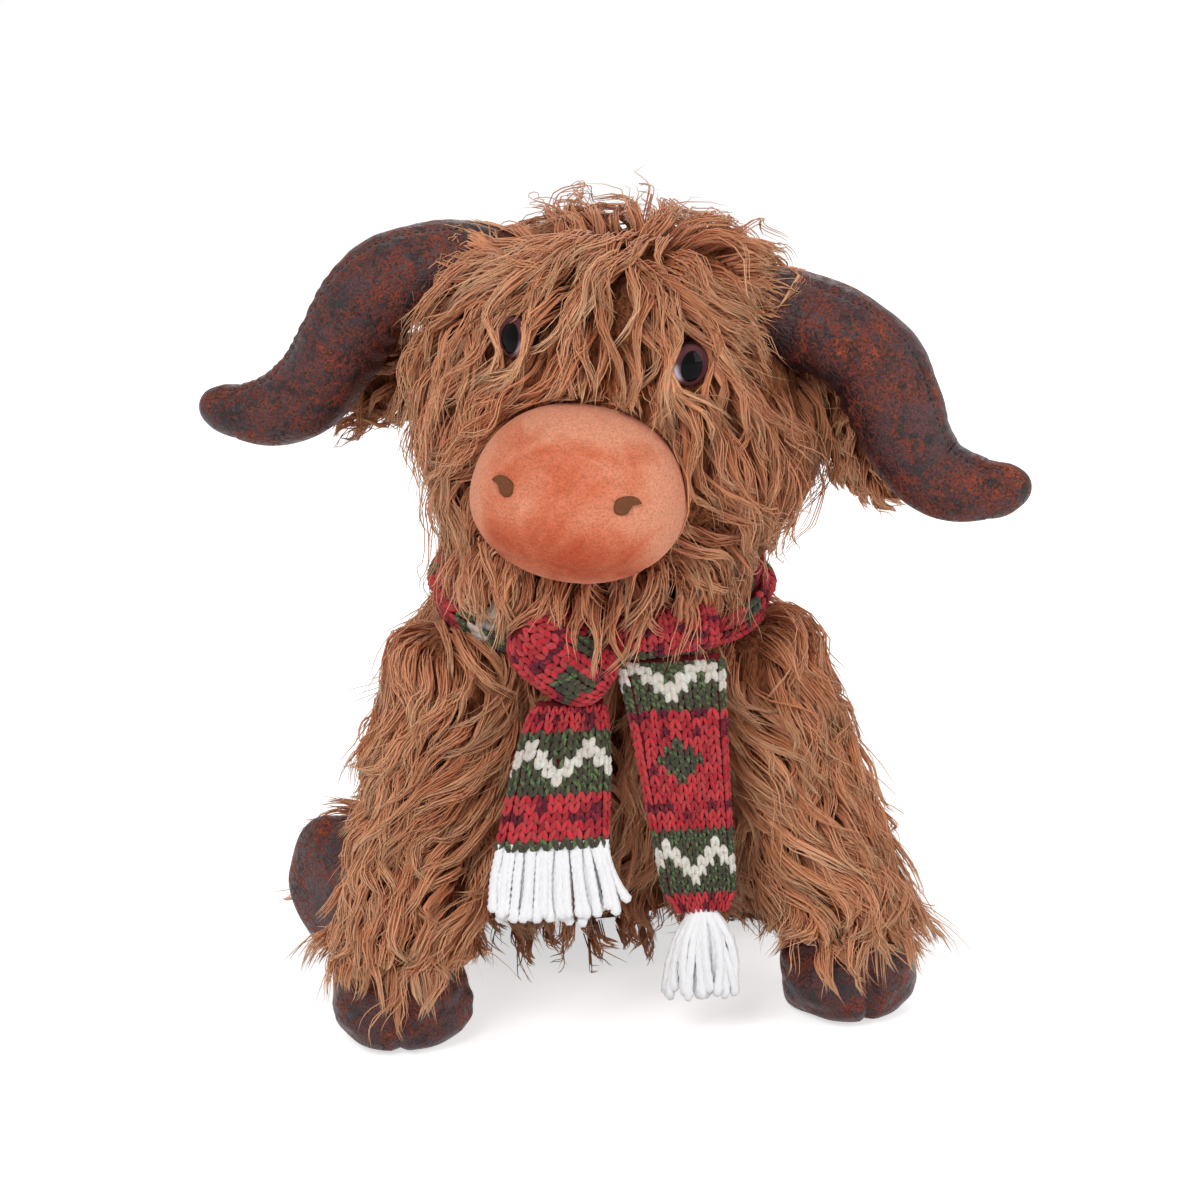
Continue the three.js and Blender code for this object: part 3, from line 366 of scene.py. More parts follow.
class Globe(Surface):
    """The same skin read by direction from a middle, so that locks can run over its top. A place is a unit
    vector; how far the skin lies that way is kept for each turn about Z and each tilt from it."""

    def __init__(self, rings, middle):
        super().__init__(rings)
        self.middle = np.asarray(middle, float)
        self.tilts = np.linspace(0, math.pi * 0.93, 120)
        gap = rings - self.middle
        turn = np.arctan2(gap[..., 1], gap[..., 0]) % (2 * math.pi)
        tilt = np.arctan2(np.hypot(gap[..., 0], gap[..., 1]), gap[..., 2])
        order = np.argsort(turn[len(turn) // 2])
        self.turns = turn[len(turn) // 2, order]
        far = np.linalg.norm(gap, axis=-1)[:, order]
        self.far = np.stack([np.interp(self.tilts, tilt[:, n], far[:, k]) for k, n in enumerate(order)], 1)

    def reach(self, way):
        """How far the skin lies from the middle along directions, mixed from the four nearest entries."""
        turn = np.arctan2(way[..., 1], way[..., 0]) % (2 * math.pi)
        count = len(self.turns)
        a = (turn / (2 * math.pi) * count - self.turns[0] / (2 * math.pi) * count) % count
        b = np.arccos(np.clip(way[..., 2], -1, 1)) / self.tilts[-1] * (len(self.tilts) - 1)
        b = np.clip(b, 0, len(self.tilts) - 1.001)
        a0, b0 = a.astype(int) % count, b.astype(int)
        a1, fa, fb = (a0 + 1) % count, a - np.floor(a), b - b0
        near = self.far[b0, a0] * (1 - fa) + self.far[b0, a1] * fa
        return near * (1 - fb) + (self.far[b0 + 1, a0] * (1 - fa) + self.far[b0 + 1, a1] * fa) * fb

    def at(self, place):
        side = unit(np.cross(place, np.array([0.31, 0.47, 0.82])))
        other = np.cross(place, side)
        step = 0.04
        moves = ((step, 0), (-step, 0), (0, step), (0, -step))
        spots = [unit(place + side * x + other * y) for x, y in moves]
        east, west, north, south = (spot * self.reach(spot)[:, None] for spot in spots)
        normal = unit(np.cross(east - west, north - south))
        normal *= np.sign((normal * place).sum(-1, keepdims=True))
        return self.middle + place * self.reach(place)[:, None], normal

    def walk(self, place, way, step):
        return unit(place * self.reach(place)[:, None] + way * step[:, None])

    def scatter(self, count, rng, top=0.0, bottom=1.0):
        spread = super().scatter(count, rng, top, bottom)
        return unit(self.spot(spread[:, 0], spread[:, 1])[0] - self.middle)


# Finishes
def linear(*rgb):
    """A colour written as on screen, 0 to 255, in the values that light adds up in."""
    c = np.asarray(rgb, float) / 255
    return np.where(c <= 0.04045, c / 12.92, ((c + 0.055) / 1.055) ** 2.4)


def four(colour):
    """A colour with its alpha, as a shader's socket takes it."""
    return (*[float(c) for c in colour], 1.0)


def set_socket(tree, socket, value):
    """A node's input given a value, or joined to another node's output."""
    if isinstance(value, bpy.types.NodeSocket):
        tree.links.new(value, socket)
    else:
        socket.default_value = value


def math_node(tree, kind, *values):
    """Output of a math node whose inputs are numbers or other nodes' outputs."""
    node = tree.nodes.new("ShaderNodeMath")
    node.operation = kind
    for socket, value in zip(node.inputs, values):
        set_socket(tree, socket, value)
    return node.outputs[0]


def seen_share(tree):
    """1 for what the camera sees, by itself, in a gloss or through something clear, and 0 for other light."""
    path = tree.nodes.new("ShaderNodeLightPath").outputs
    through = math_node(tree, "MAXIMUM", path["Is Glossy Ray"], path["Is Transmission Ray"])
    return math_node(tree, "MAXIMUM", path["Is Camera Ray"], through)


class Finish:
    """A material made node by node: add() makes a node with its sockets' values, and a socket's value may be
    another node's output."""

    def __init__(self, name, **shader):
        self.material = bpy.data.materials.new(name)
        self.material.use_nodes = True
        self.tree = self.material.node_tree
        self.shader = self.tree.nodes["Principled BSDF"]
        self.fill(self.shader, shader)

    def fill(self, node, values):
        for label, value in values.items():
            key = int(label[1:]) if label[0] == "_" else label.replace("_", " ")
            set_socket(self.tree, node.inputs[key], value)

    def add(self, kind, settings=None, **values):
        node = self.tree.nodes.new(kind)
        for label, value in (settings or {}).items():
            setattr(node, label, value)
        self.fill(node, values)
        return node

    def noise(self, place, scale, detail=3.0, roughness=0.55, distortion=0.0):
        node = self.add("ShaderNodeTexNoise", Vector=place, Scale=scale, Detail=detail, Roughness=roughness,
                        Distortion=distortion)
        return node.outputs["Fac"]

    def cells(self, place, scale):
        node = self.add("ShaderNodeTexVoronoi", {"feature": "DISTANCE_TO_EDGE"}, Vector=place, Scale=scale)
        return node.outputs["Distance"]

    def sum(self, kind, a, b=0.0, c=0.0):
        return math_node(self.tree, kind, a, b, c)

    def ramp(self, value, *stops):
        """Colour or grey that follows a value through stops of (place, colour)."""
        node = self.add("ShaderNodeValToRGB", Fac=value)
        ramp = node.color_ramp
        while len(ramp.elements) < len(stops):
            ramp.elements.new(0.5)
        for element, (place, colour) in zip(ramp.elements, stops):
            element.position = place
            element.color = four(colour) if hasattr(colour, "__len__") else (colour, colour, colour, 1)
        return node.outputs["Color"]

    def mix(self, share, a, b, kind="MIX"):
        node = self.add("ShaderNodeMix", {"data_type": "RGBA", "blend_type": kind})
        self.fill(node, {"_0": share, "_6": a, "_7": b})
        return node.outputs[2]

    def times(self, a, b):
        return self.mix(1.0, a, b, "MULTIPLY")

    def bump(self, height, strength, depth, under=None):
        node = self.add("ShaderNodeBump", Height=height, Strength=strength, Distance=depth)
        if under is not None:
            self.tree.links.new(under, node.inputs["Normal"])
        return node.outputs["Normal"]

    def place(self, scale=(1, 1, 1)):
        """The piece's own coordinates, stretched."""
        node = self.add("ShaderNodeMapping", Vector=self.add("ShaderNodeTexCoord").outputs["Object"])
        node.inputs["Scale"].default_value = scale
        return node.outputs["Vector"]

    def split(self, label):
        """Red, green and blue of a colour kept on the mesh."""
        colour = self.add("ShaderNodeVertexColor", {"layer_name": label}).outputs["Color"]
        return self.add("ShaderNodeSeparateColor", Color=colour).outputs

    def use(self, **values):
        self.fill(self.shader, values)
        return self.material


def fur_finish():
    """Fur: dark at the roots, reddish brown along the lock and golden at the tips. Fine stripes run along
    each lock, and locks and hairs differ from each other. The colour kept on the mesh is how far along the
    hair, a number for its lock and one for itself."""
    f = Finish("fur", Roughness=0.45, Specular_IOR_Level=0.5, Sheen_Weight=0.5, Sheen_Roughness=0.4)
    f.shader.inputs["Sheen Tint"].default_value = four(linear(255, 204, 166))
    along, lock, hair = f.split("lock")[:3]
    uv = f.add("ShaderNodeTexCoord").outputs["UV"]
    stripe_place = f.add("ShaderNodeMapping", Vector=uv)
    stripe_place.inputs["Scale"].default_value = (11, 1.3, 1)
    shifted = f.add("ShaderNodeVectorMath", {"operation": "ADD"})
    number = f.add("ShaderNodeCombineXYZ", X=f.sum("MULTIPLY", lock, 31.0), Z=f.sum("MULTIPLY", hair, 17.0))
    f.fill(shifted, {"_0": stripe_place.outputs["Vector"], "_1": number.outputs["Vector"]})
    stripes = f.noise(shifted.outputs["Vector"], 1.0, 4.0, 0.6)
    base = f.ramp(f.sum("ADD", along, f.sum("MULTIPLY_ADD", stripes, 0.3, -0.15)),
                  (0.0, linear(206, 128, 88)), (0.2, linear(240, 160, 115)), (0.55, linear(255, 184, 138)),
                  (0.85, linear(255, 203, 158)), (1.0, linear(255, 222, 186)))
    tint = f.ramp(lock, (0.0, linear(236, 216, 200)), (0.4, linear(252, 248, 244)),
                  (0.8, linear(255, 255, 255)))
    own = f.ramp(hair, (0.0, linear(220, 200, 186)), (0.35, linear(252, 248, 244)),
                 (0.85, linear(255, 255, 255)))
    coloured = f.times(f.times(base, tint), own)
    shade = f.ramp(stripes, (0.34, 0.68), (0.5, 1.0))
    coloured = f.times(coloured, shade)
    bumpy = f.bump(stripes, 0.6, 0.0006)
    return f.use(Base_Color=coloured, Normal=bumpy)


def backing_finish():
    """Backing under the coat: brown plush cloth, painted dark brown as the shade deep inside the coat, with
    its short dense pile in small upright tufts.
    """
    f = Finish("coat_backing", Roughness=0.9, Specular_IOR_Level=0.1)
    grain = f.noise(f.place((1, 1, 0.3)), 900, 3)
    tufts = f.noise(f.place((1, 1, 0.22)), 330, 4, 0.7, 0.6)
    level = f.sum("MULTIPLY_ADD", tufts, 0.7, f.sum("MULTIPLY", grain, 0.3))
    # painted shade: the dark browns make gaps in the coat read as the shade deep among its hairs
    colour = f.ramp(level, (0.38, linear(70, 36, 22)), (0.5, linear(132, 78, 50)),
                    (0.62, linear(186, 118, 78)))
    return f.use(Base_Color=colour, Normal=f.bump(grain, 0.8, 0.001, f.bump(tufts, 0.9, 0.003)))


def leather_finish():
    """Worn leather: maroon with near-black stains and a fine dark grain, and its rust-coloured ground showing
    through in specks and fine cracks that crowd together in patches."""
    f = Finish("worn_leather", Specular_IOR_Level=0.38)
    spot = f.place()
    broad = f.noise(spot, 34, 3, 0.6, 0.4)
    patches = f.noise(spot, 62, 4, 0.6, 0.4)
    stains = f.noise(spot, 110, 7, 0.78, 0.2)
    speck = f.noise(spot, 330, 6, 0.8)
    cracks = f.cells(spot, 300)
    wide_cracks = f.cells(spot, 120)
    ground = f.ramp(broad, (0.35, linear(64, 29, 30)), (0.5, linear(92, 41, 39)), (0.65, linear(56, 31, 37)))
    rust = f.ramp(speck, (0.4, linear(120, 48, 27)), (0.6, linear(160, 73, 40)), (0.75, linear(196, 108, 66)))
    crowd = f.sum("MULTIPLY_ADD", patches, 0.9, f.sum("MULTIPLY_ADD", speck, 0.7, -0.35))
    worn = f.ramp(crowd, (0.55, 0.0), (0.6, 1.0))
    near_worn = f.ramp(patches, (0.42, 0.0), (0.5, 0.85))
    lines = f.sum("MAXIMUM", f.ramp(cracks, (0.0, 1.0), (0.12, 0.0)),
                  f.ramp(wide_cracks, (0.0, 1.0), (0.07, 0.0)))
    rust_share = f.sum("MAXIMUM", worn, f.sum("MULTIPLY", lines, near_worn))
    colour = f.mix(rust_share, ground, rust)
    dark = f.ramp(f.sum("MULTIPLY_ADD", speck, 0.5, f.sum("MULTIPLY_ADD", stains, 0.8, -0.25)),
                  (0.41, 0.0), (0.47, 0.9))
    colour = f.mix(dark, colour, four(linear(24, 16, 20)))
    pebble = f.noise(spot, 1150, 3, 0.7)
    colour = f.times(colour, f.ramp(pebble, (0.4, 0.12), (0.52, 1.0)))
    rough = f.ramp(rust_share, (0.0, 0.36), (0.6, 0.7))
    deep = f.bump(f.sum("SUBTRACT", stains, f.sum("MULTIPLY", lines, 0.3)), 0.5, 0.0011)
    return f.use(Base_Color=colour, Roughness=rough, Normal=f.bump(pebble, 0.6, 0.0005, deep))


def velour_finish():
    """Coral velour: soft blotches where the pile lies another way, ribs of pile across, a short fibre grain
    and sheen. The colour kept on the mesh is how deep the colour is there: deeper in a blotch of the pile,
    with painted shade over the muzzle's lower half and a painted sheen that pales its rim."""
    f = Finish("coral_velour", Roughness=0.8, Specular_IOR_Level=0.15, Sheen_Weight=0.3, Sheen_Roughness=0.4)
    f.shader.inputs["Sheen Tint"].default_value = four(linear(255, 205, 180))
    spot = f.place()
    # depth of colour kept on the mesh: a blotch of the pile, painted shade low on the muzzle and a painted
    # sheen round its rim
    deep = f.split("pile")[0]
    blotch = f.noise(spot, 60, 3, 0.6, 0.7)
    fine = f.noise(spot, 1300, 2)
    ribs = f.noise(f.place((0.35, 0.35, 1)), 1300, 3, 0.6)
    level = f.sum("MULTIPLY_ADD", blotch, 0.7, f.sum("MULTIPLY_ADD", deep, 0.75, -0.35))
    colour = f.ramp(level, (0.15, linear(246, 164, 130)), (0.42, linear(226, 122, 86)),
                    (0.62, linear(204, 90, 56)), (0.85, linear(186, 72, 40)))
    colour = f.times(colour, f.ramp(ribs, (0.3, 0.86), (0.6, 1.0)))
    colour = f.times(colour, f.ramp(fine, (0.3, 0.7), (0.55, 1.0)))
    return f.use(Base_Color=colour, Normal=f.bump(fine, 0.8, 0.0006, f.bump(ribs, 0.5, 0.0006)))


def felt_finish():
    """Brown felt: matted fibres that run every way."""
    f = Finish("brown_felt", Roughness=0.95, Specular_IOR_Level=0.1)
    fibres = f.noise(f.place(), 1600, 4, 0.7, 1.5)
    colour = f.ramp(fibres, (0.3, linear(104, 62, 40)), (0.7, linear(150, 98, 66)))
    return f.use(Base_Color=colour, Normal=f.bump(fibres, 0.9, 0.0006))


def eye_finish():
    """Glossy safety eye: an upright oval pupil in a dark purple-brown ring, with a painted glint on the ring.
    The colour kept on the mesh is the distance from the middle, the painted glint (a pale patch of the ring
    on the nose's side), and the distance over the oval."""
    f = Finish("glossy_eye", Roughness=0.05, Specular_IOR_Level=0.09)
    out, pale, oval = f.split("eye")[:3]
    streak = f.noise(f.place(), 700, 2)
    ring = f.ramp(f.sum("MULTIPLY_ADD", streak, 0.08, out), (0.5, linear(62, 34, 40)),
                  (0.9, linear(100, 58, 62)), (1.0, linear(34, 20, 22)))
    # painted glint: the ring turns pale lilac white in the patch on the nose's side
    ring = f.mix(pale, ring, four(linear(206, 200, 214)))
    pupil = f.ramp(oval, (0.61, 1.0), (0.65, 0.0))
    return f.use(Base_Color=f.mix(pupil, ring, four(linear(4, 3, 4))))


def knit_finish():
    """Two-ply knitting yarn: its two plies' colours are kept on the mesh and wind round each other, with a
    fine fibre grain."""
    f = Finish("two_ply_yarn", Roughness=0.9, Specular_IOR_Level=0.12, Sheen_Weight=0.15)
    first = f.add("ShaderNodeVertexColor", {"layer_name": "yarn"}).outputs["Color"]
    second = f.add("ShaderNodeVertexColor", {"layer_name": "ply"}).outputs["Color"]
    parts = f.add("ShaderNodeSeparateXYZ", Vector=f.add("ShaderNodeTexCoord").outputs["UV"]).outputs
    twist = f.sum("SINE", f.sum("MULTIPLY_ADD", parts[0], 6.2832, f.sum("MULTIPLY", parts[1], 4.4)))
    fibre = f.noise(f.place(), 1500, 4, 0.7)
    wander = f.sum("MULTIPLY_ADD", fibre, 2.4, -1.2)
    share = f.ramp(f.sum("ADD", twist, wander), (0.62, 0.0), (0.88, 1.0))
    colour = f.mix(share, first, second)
    colour = f.times(colour, f.ramp(fibre, (0.32, 0.7), (0.52, 1.0)))
    return f.use(Base_Color=colour, Normal=f.bump(fibre, 1.0, 0.0008, f.bump(twist, 0.6, 0.0004)))


def fringe_finish():
    """White yarn: soft, with a fine fibre grain, and a slightly blue-grey painted shade in the grain's
    hollows.
    """
    f = Finish("white_yarn", Roughness=0.9, Specular_IOR_Level=0.15, Sheen_Weight=0.2)
    fibre = f.noise(f.place((1, 1, 0.35)), 1500, 4, 0.65)
    # painted shade: where the grain dips, the white turns slightly blue-grey
    colour = f.ramp(fibre, (0.25, linear(246, 246, 252)), (0.6, linear(255, 255, 255)))
    return f.use(Base_Color=colour, Normal=f.bump(fibre, 0.5, 0.0004))


def cotton_finish(name, dark, pale):
    """Cotton thread: a fine crossed grain between two colours."""
    f = Finish(name, Roughness=0.95, Specular_IOR_Level=0.1)
    weave = f.noise(f.place(), 800, 4, 0.7)
    return f.use(Base_Color=f.ramp(weave, (0.3, dark), (0.7, pale)), Normal=f.bump(weave, 0.6, 0.0008))


def washer_finish():
    """Moulded washer plastic, very finely grained."""
    f = Finish("washer_plastic", Roughness=0.45, Specular_IOR_Level=0.4)
    grain = f.noise(f.place(), 900, 2)
    colour = f.ramp(grain, (0.3, linear(222, 219, 210)), (0.7, linear(236, 234, 227)))
    return f.use(Base_Color=colour, Normal=f.bump(grain, 0.1, 0.0002))


# Scene, camera and light
scene = bpy.context.scene
scene.view_settings.view_transform = "Standard"

MIDDLE = SHIFT + np.array([0, 0, 0.15])
DISTANCE = 1.3
FILM = 36
FRAME_PIXELS = 1200
MM_TO_A_PIXEL = 0.361


def set_camera():
    """Camera at the photograph's angle: azimuth -10, elevation 15 degrees, 1.3 m from the toy's middle."""
    azimuth, elevation = math.radians(-10), math.radians(15)
    back = np.array([math.sin(azimuth) * math.cos(elevation), -math.cos(azimuth) * math.cos(elevation),
                     math.sin(elevation)])
    data = bpy.data.cameras.new("camera")
    data.sensor_width = FILM
    data.lens = FILM * (DISTANCE / MM / MM_TO_A_PIXEL) / FRAME_PIXELS
    data.shift_x, data.shift_y = -22 / FRAME_PIXELS, 22 / FRAME_PIXELS
    camera = bpy.data.objects.new("camera", data)
    camera.location = MIDDLE + back * DISTANCE
    camera.rotation_euler = Vector(-back).to_track_quat("-Z", "Y").to_euler()
    scene.collection.objects.link(camera)
    scene.camera = camera


def area_light(name, place, size, power):
    """Square lamp that looks from a place at the toy's middle."""
    data = bpy.data.lights.new(name, "AREA")
    data.size, data.energy = size, power
    lamp = bpy.data.objects.new(name, data)
    lamp.location = place
    lamp.rotation_euler = (Vector(MIDDLE) - Vector(place)).to_track_quat("-Z", "Y").to_euler()
    scene.collection.objects.link(lamp)


def set_light():
    """Soft studio light from the upper left, a fill from the right, and a pale world all round."""
    area_light("key", (-0.75, -1.15, 1.15), 0.7, 12.5)
    area_light("fill", (1.3, -0.9, 0.6), 0.9, 7.4)
    area_light("back", (0.3, 1.2, 1.1), 0.9, 4.5)
    world = bpy.data.worlds.new("world")
    scene.world = world
    world.use_nodes = True
    tree = world.node_tree
    light, seen_more = 0.42, 0.58
    strength = math_node(tree, "MULTIPLY_ADD", seen_share(tree), seen_more, light)
    background = tree.nodes["Background"]
    background.inputs["Color"].default_value = (1, 1, 1, 1)
    tree.links.new(strength, background.inputs["Strength"])


def set_floor():
    """Pale floor that the camera sees near white, with the toy's shadow kept."""
    mesh = bpy.data.meshes.new("floor")
    size = 6.0
    corners = [(-size, -size, 0), (size, -size, 0), (size, size, 0), (-size, size, 0)]
    mesh.from_pydata(corners, [], [(0, 1, 2, 3)])
    floor = bpy.data.objects.new("floor", mesh)
    scene.collection.objects.link(floor)
    f = Finish("pale_floor", Roughness=0.9, Specular_IOR_Level=0.1)
    f.shader.inputs["Base Color"].default_value = (0.86, 0.86, 0.86, 1)
    f.shader.inputs["Emission Color"].default_value = (1, 1, 1, 1)
    f.use(Emission_Strength=f.sum("MULTIPLY", seen_share(f.tree), 0.62))
    mesh.materials.append(f.material)


set_camera()
set_light()
set_floor()

FUR = fur_finish()
BACKING = backing_finish()
LEATHER = leather_finish()
VELOUR = velour_finish()
FELT = felt_finish()
EYE = eye_finish()
KNIT = knit_finish()
FRINGE = fringe_finish()
WASHER = washer_finish()


# Furred forms, each as a skin (what shows under the coat) and a fall (what the coat's locks run over)
def trunk_centre(level):
    """Where the trunk's middle lies, front to back, at a level."""
    return SEAT_BACK - LEAN * np.interp(level / TRUNK_HEIGHT, TRUNK_ROWS[:, 0], TRUNK_ROWS[:, 1])


def trunk_back(level):
    """Where the trunk's back lies at a level."""
    depth = np.interp(level / TRUNK_HEIGHT, TRUNK_ROWS[:, 0], TRUNK_ROWS[:, 3])
    return trunk_centre(level) + depth * TRUNK_HALF_DEPTH


def trunk_rows(inset):
    """Trunk's rows from the top down: height, centre x, centre y, half width, half depth."""
    up, lean, wide, deep = TRUNK_ROWS.T
    level = inset + up * (TRUNK_HEIGHT - 2 * inset)
    return np.stack([level, 0 * up, SEAT_BACK - lean * LEAN, wide * TRUNK_HALF_WIDTH - inset,
                     deep * TRUNK_HALF_DEPTH - inset], 1)[::-1]


def head_size(height):
    """Half width and half depth of the head at a height in its own measures."""
    share = height / HEAD_HALF[2]
    return (np.interp(share, HEAD_ROWS[:, 0], HEAD_ROWS[:, 1]) * HEAD_HALF[0],
            np.interp(share, HEAD_ROWS[:, 0], HEAD_ROWS[:, 2]) * HEAD_HALF[1])


def trunk_forms():
    """The trunk's skin narrows to its seat, and its fall runs on past it; coat() lifts what would lie below
    the floor."""
    rows = trunk_rows(TRUNK_PILE)
    cap = rows[0] * np.array([1, 1, 1, 0.4, 0.4]) + np.array([2.5, 0, 0, 0, 0])
    seat = rows[-1] * np.array([1, 1, 1, 0.1, 0.1]) - np.array([3, 0, 0, 0, 0])
    skin = drawn_out(np.concatenate([[cap], rows, [seat]]), 60)
    skin[:, 0] = np.maximum(skin[:, 0], 3)
    hang = [[15, 0, 108, 62, 59], [4, 0, 112, 58, 55], [-20, 0, 114, 56, 53]]
    fall = drawn_out(np.concatenate([[cap], rows[:7], hang]), 70)
    return oval_rings(skin, 48), oval_rings(fall, 64)


def head_forms():
    """The head's skin closes under its jaw, and its fall runs on below the cheeks, drawn in. Both are lower
    and wider in the crown, where the coat stands up most, and lean a little to the toy's left there."""
    inset = 6.0
    up, wide, deep = HEAD_ROWS[::-1].T
    half = HEAD_HALF - inset
    up = up - 0.14 * smooth((up - 0.3) / 0.6)

    def rows(up, wide, deep):
        return np.stack([up * half[2], 5 * smooth((up - 0.35) / 0.5), 0 * up + HEAD_BACK,
                         wide * HEAD_HALF[0] - inset * (wide > 0.3),
                         deep * HEAD_HALF[1] - inset * (deep > 0.3)], 1)

    body = rows(up, wide + 0.14 * smooth((up - 0.3) / 0.5), deep + 0.08 * smooth((up - 0.3) / 0.5))
    body[0, 3:] = (14, 14)
    body[1, 3:] = (32, 31)
    tip = np.array([[half[2] * up[0] + 1.5, 5, HEAD_BACK, 1, 1]])
    base = np.array([[-half[2] - 1.5, 0, HEAD_BACK, 2, 2]])
    skin = drawn_out(np.concatenate([tip, body, base]), 70)
    crown = np.stack([up, wide, deep], 1)
    crown[:, 1] += np.interp(crown[:, 0], [-0.95, -0.74, -0.42, -0.12, 0.18, 0.5, 0.76, 0.94, 1],
                             [0, -0.03, -0.07, -0.06, 0.02, 0.1, 0.2, 0.27, 0.2])
    crown[:, 2] += np.interp(crown[:, 0], [0, 0.5, 0.94, 1], [0, 0.04, 0.12, 0.1])
    curtain = np.array([[-0.74, 0.8, 0.88], [-0.95, 0.73, 0.82], [-1.15, 0.67, 0.76], [-1.45, 0.62, 0.7]])
    fall = drawn_out(np.concatenate([tip, rows(*crown.T)[:7], rows(*curtain.T)]), 84)
    return oval_rings(skin, 56), oval_rings(fall, 72)


def front_leg_forms(side):
    """A front leg from its shoulder ball to its hoof; its fall goes on over the hoof."""
    top = np.array([side * 56.0, 28.0, 120.0])
    foot = np.array([side * FRONT_FOOT[0], FRONT_FOOT[1], 33.0])
    down = np.array([0, 0.3, 0.55, 0.8, 1])
    radius = np.array([26.2, 25.9, 24.9, 25.7, 27.0]) - 7
    line = top + (foot - top) * down[:, None]
    leg = np.stack([line[:, 2], line[:, 0], line[:, 1], radius * 1.03, radius * 1.1], 1)
    cap = np.array([[144, top[0], top[1], 2, 2], [141, top[0], top[1], 11, 11],
                    [133, top[0], top[1], 19, 19]])
    sole = np.array([[31, foot[0], foot[1], 3, 3]])
    skin = drawn_out(np.concatenate([cap, leg, sole]), 44)
    over = np.array([[29, 24.5], [20, 27.5], [10, 29.0], [2, 31.0]])
    level, reach = over.T
    hang = np.stack([level, 0 * level + foot[0], 0 * level + foot[1], reach, reach], 1)
    fall = drawn_out(np.concatenate([cap, leg, hang]), 60)
    return oval_rings(skin, 32), oval_rings(fall, 40)


def hind_leg_forms(side):
    """A hind leg about its own line from the hip out to the hoof; its fall goes on over the hoof."""
    hip, heading = hind_leg_line(side)
    stations = np.array([[-24, 6], [-20, 14], [-8, 20], [4, 20.5], [12, 20.5], [13.5, 4]])
    past = np.array([[-24, 6], [-20, 14], [-8, 20], [4, 21], [13, 22.5], [20, 26.5], [30, 28.5], [42, 29]])

    def rings(table, total, count):
        table = drawn_out(table, total)
        line = hip + heading * table[:, :1]
        return tube_rings(line, table[:, 1], table[:, 1], (0, 0, 1), count)

    return rings(stations, 30, 32), rings(past, 40, 36)


def hind_leg_line(side):
    """Hip and heading of a hind leg."""
    hip = np.array([side * HIND_HIP[0], *HIND_HIP[1:]])
    return hip, np.array([side * math.cos(HIND_ASIDE), -math.sin(HIND_ASIDE), 0])


def ear_forms(side):
    """A flat leaf that hangs out and down from its root, in the head's measures."""
    root_y, root_z = 25.0, 1.0
    wide, deep = head_size(root_z)
    out = wide * math.sqrt(1 - ((root_y - HEAD_BACK) / deep) ** 2) + 1
    root = np.array([side * out, root_y, root_z])
    droop, length, half_wide, half_deep, thinnest = math.radians(42), 50, 15, 6, 0.6
    along = np.array([side * math.cos(droop), 0, -math.sin(droop)])
    leaf = np.array([[-0.1, 0.4, 0.6], [0, 0.5, 0.9], [0.18, 0.55, 0.95], [0.4, 0.92, 1], [0.62, 1, 1],
                     [0.82, 0.72, 0.8], [0.95, 0.36, 0.5], [1, 0.1, 0.15]])
    past = np.concatenate([leaf[:-2], [[1.0, 0.62, 0.8], [1.25, 0.5, 0.8], [1.6, 0.4, 0.8]]])

    def rings(table, total, count, inset):
        table = drawn_out(table, total)
        line = root + along * table[:, :1] * length
        wide = np.maximum(table[:, 1] * half_wide - inset, thinnest)
        deep = np.maximum(table[:, 2] * half_deep - inset, thinnest)
        return tube_rings(line, wide, deep, (0, 1, 0), count)

    return rings(leaf, 26, 24, 2.0), rings(past, 36, 28, 1.6)


def tail_forms():
    """The tail and the core of its tuft, down the trunk's back; its fall goes on below."""
    level = np.array([82, 78, 66, 54, 44, 38, 32])
    radius = np.array([2, 5, 4.8, 4.6, 4.6, 6, 2.5])
    rows = np.stack([level, 0 * level, trunk_back(level) + 1, radius, radius], 1)
    low = np.array([36, 26, 18, 11, 5])
    spread = np.array([7, 9, 8.5, 6.5, 4])
    hang = np.stack([low, 0 * low, trunk_back(np.maximum(low, 22)) + 2.5, spread, spread], 1)
    past = np.concatenate([rows[:5], hang])
    return oval_rings(drawn_out(rows, 30), 20), oval_rings(drawn_out(past, 40), 24)


# What the locks keep clear of
def out_of_oval(points, centre, half):
    """Points inside an oval moved straight out from its centre to its surface."""
    reach = (points - centre) / half
    size = np.linalg.norm(reach, axis=-1, keepdims=True)
    return np.where(size < 1, centre + reach / np.maximum(size, 1e-6) * half, points)


def out_of_tube(points, line, radius):
    """Points inside a tube moved straight out from the nearest point of its line to its surface."""
    flat = points.reshape(-1, 3)
    gap = flat[:, None] - line[None]
    distance = np.linalg.norm(gap, axis=-1)
    near = distance.argmin(1)
    rows = np.arange(len(flat))
    away, size = gap[rows, near], distance[rows, near]
    reach = np.broadcast_to(radius, len(line))[near]
    moved = line[near] + away / np.maximum(size, 1e-6)[:, None] * reach[:, None]
    return np.where((size < reach)[:, None], moved, flat).reshape(points.shape)


def horn_line(side, name, count):
    """The horn's middle line and radius, in the head's measures."""
    reach, drop, thick, loose = drawn_out(HORN_ROWS, count).T
    x = side * (HORN_ROOT[0] + reach * HORN_REACH)
    y = HORN_ROOT[1] - reach * HORN_SWEEP
    z = HORN_ROOT[2] - drop * HORN_DROP - loose * HORN_SAG[name]
    return np.stack([x, y, z], 1), thick * HORN_RADIUS


def loop_point(angle):
    """The scarf's loop: an oval round the neck that is lowest in front and rises to the nape."""
    back = -np.cos(angle)
    half_wide, middle, half_deep, rise = 55, 43, 48, 12
    return np.stack([half_wide * np.sin(angle), middle + half_deep * back, TRUNK_HEIGHT + rise * back], -1)


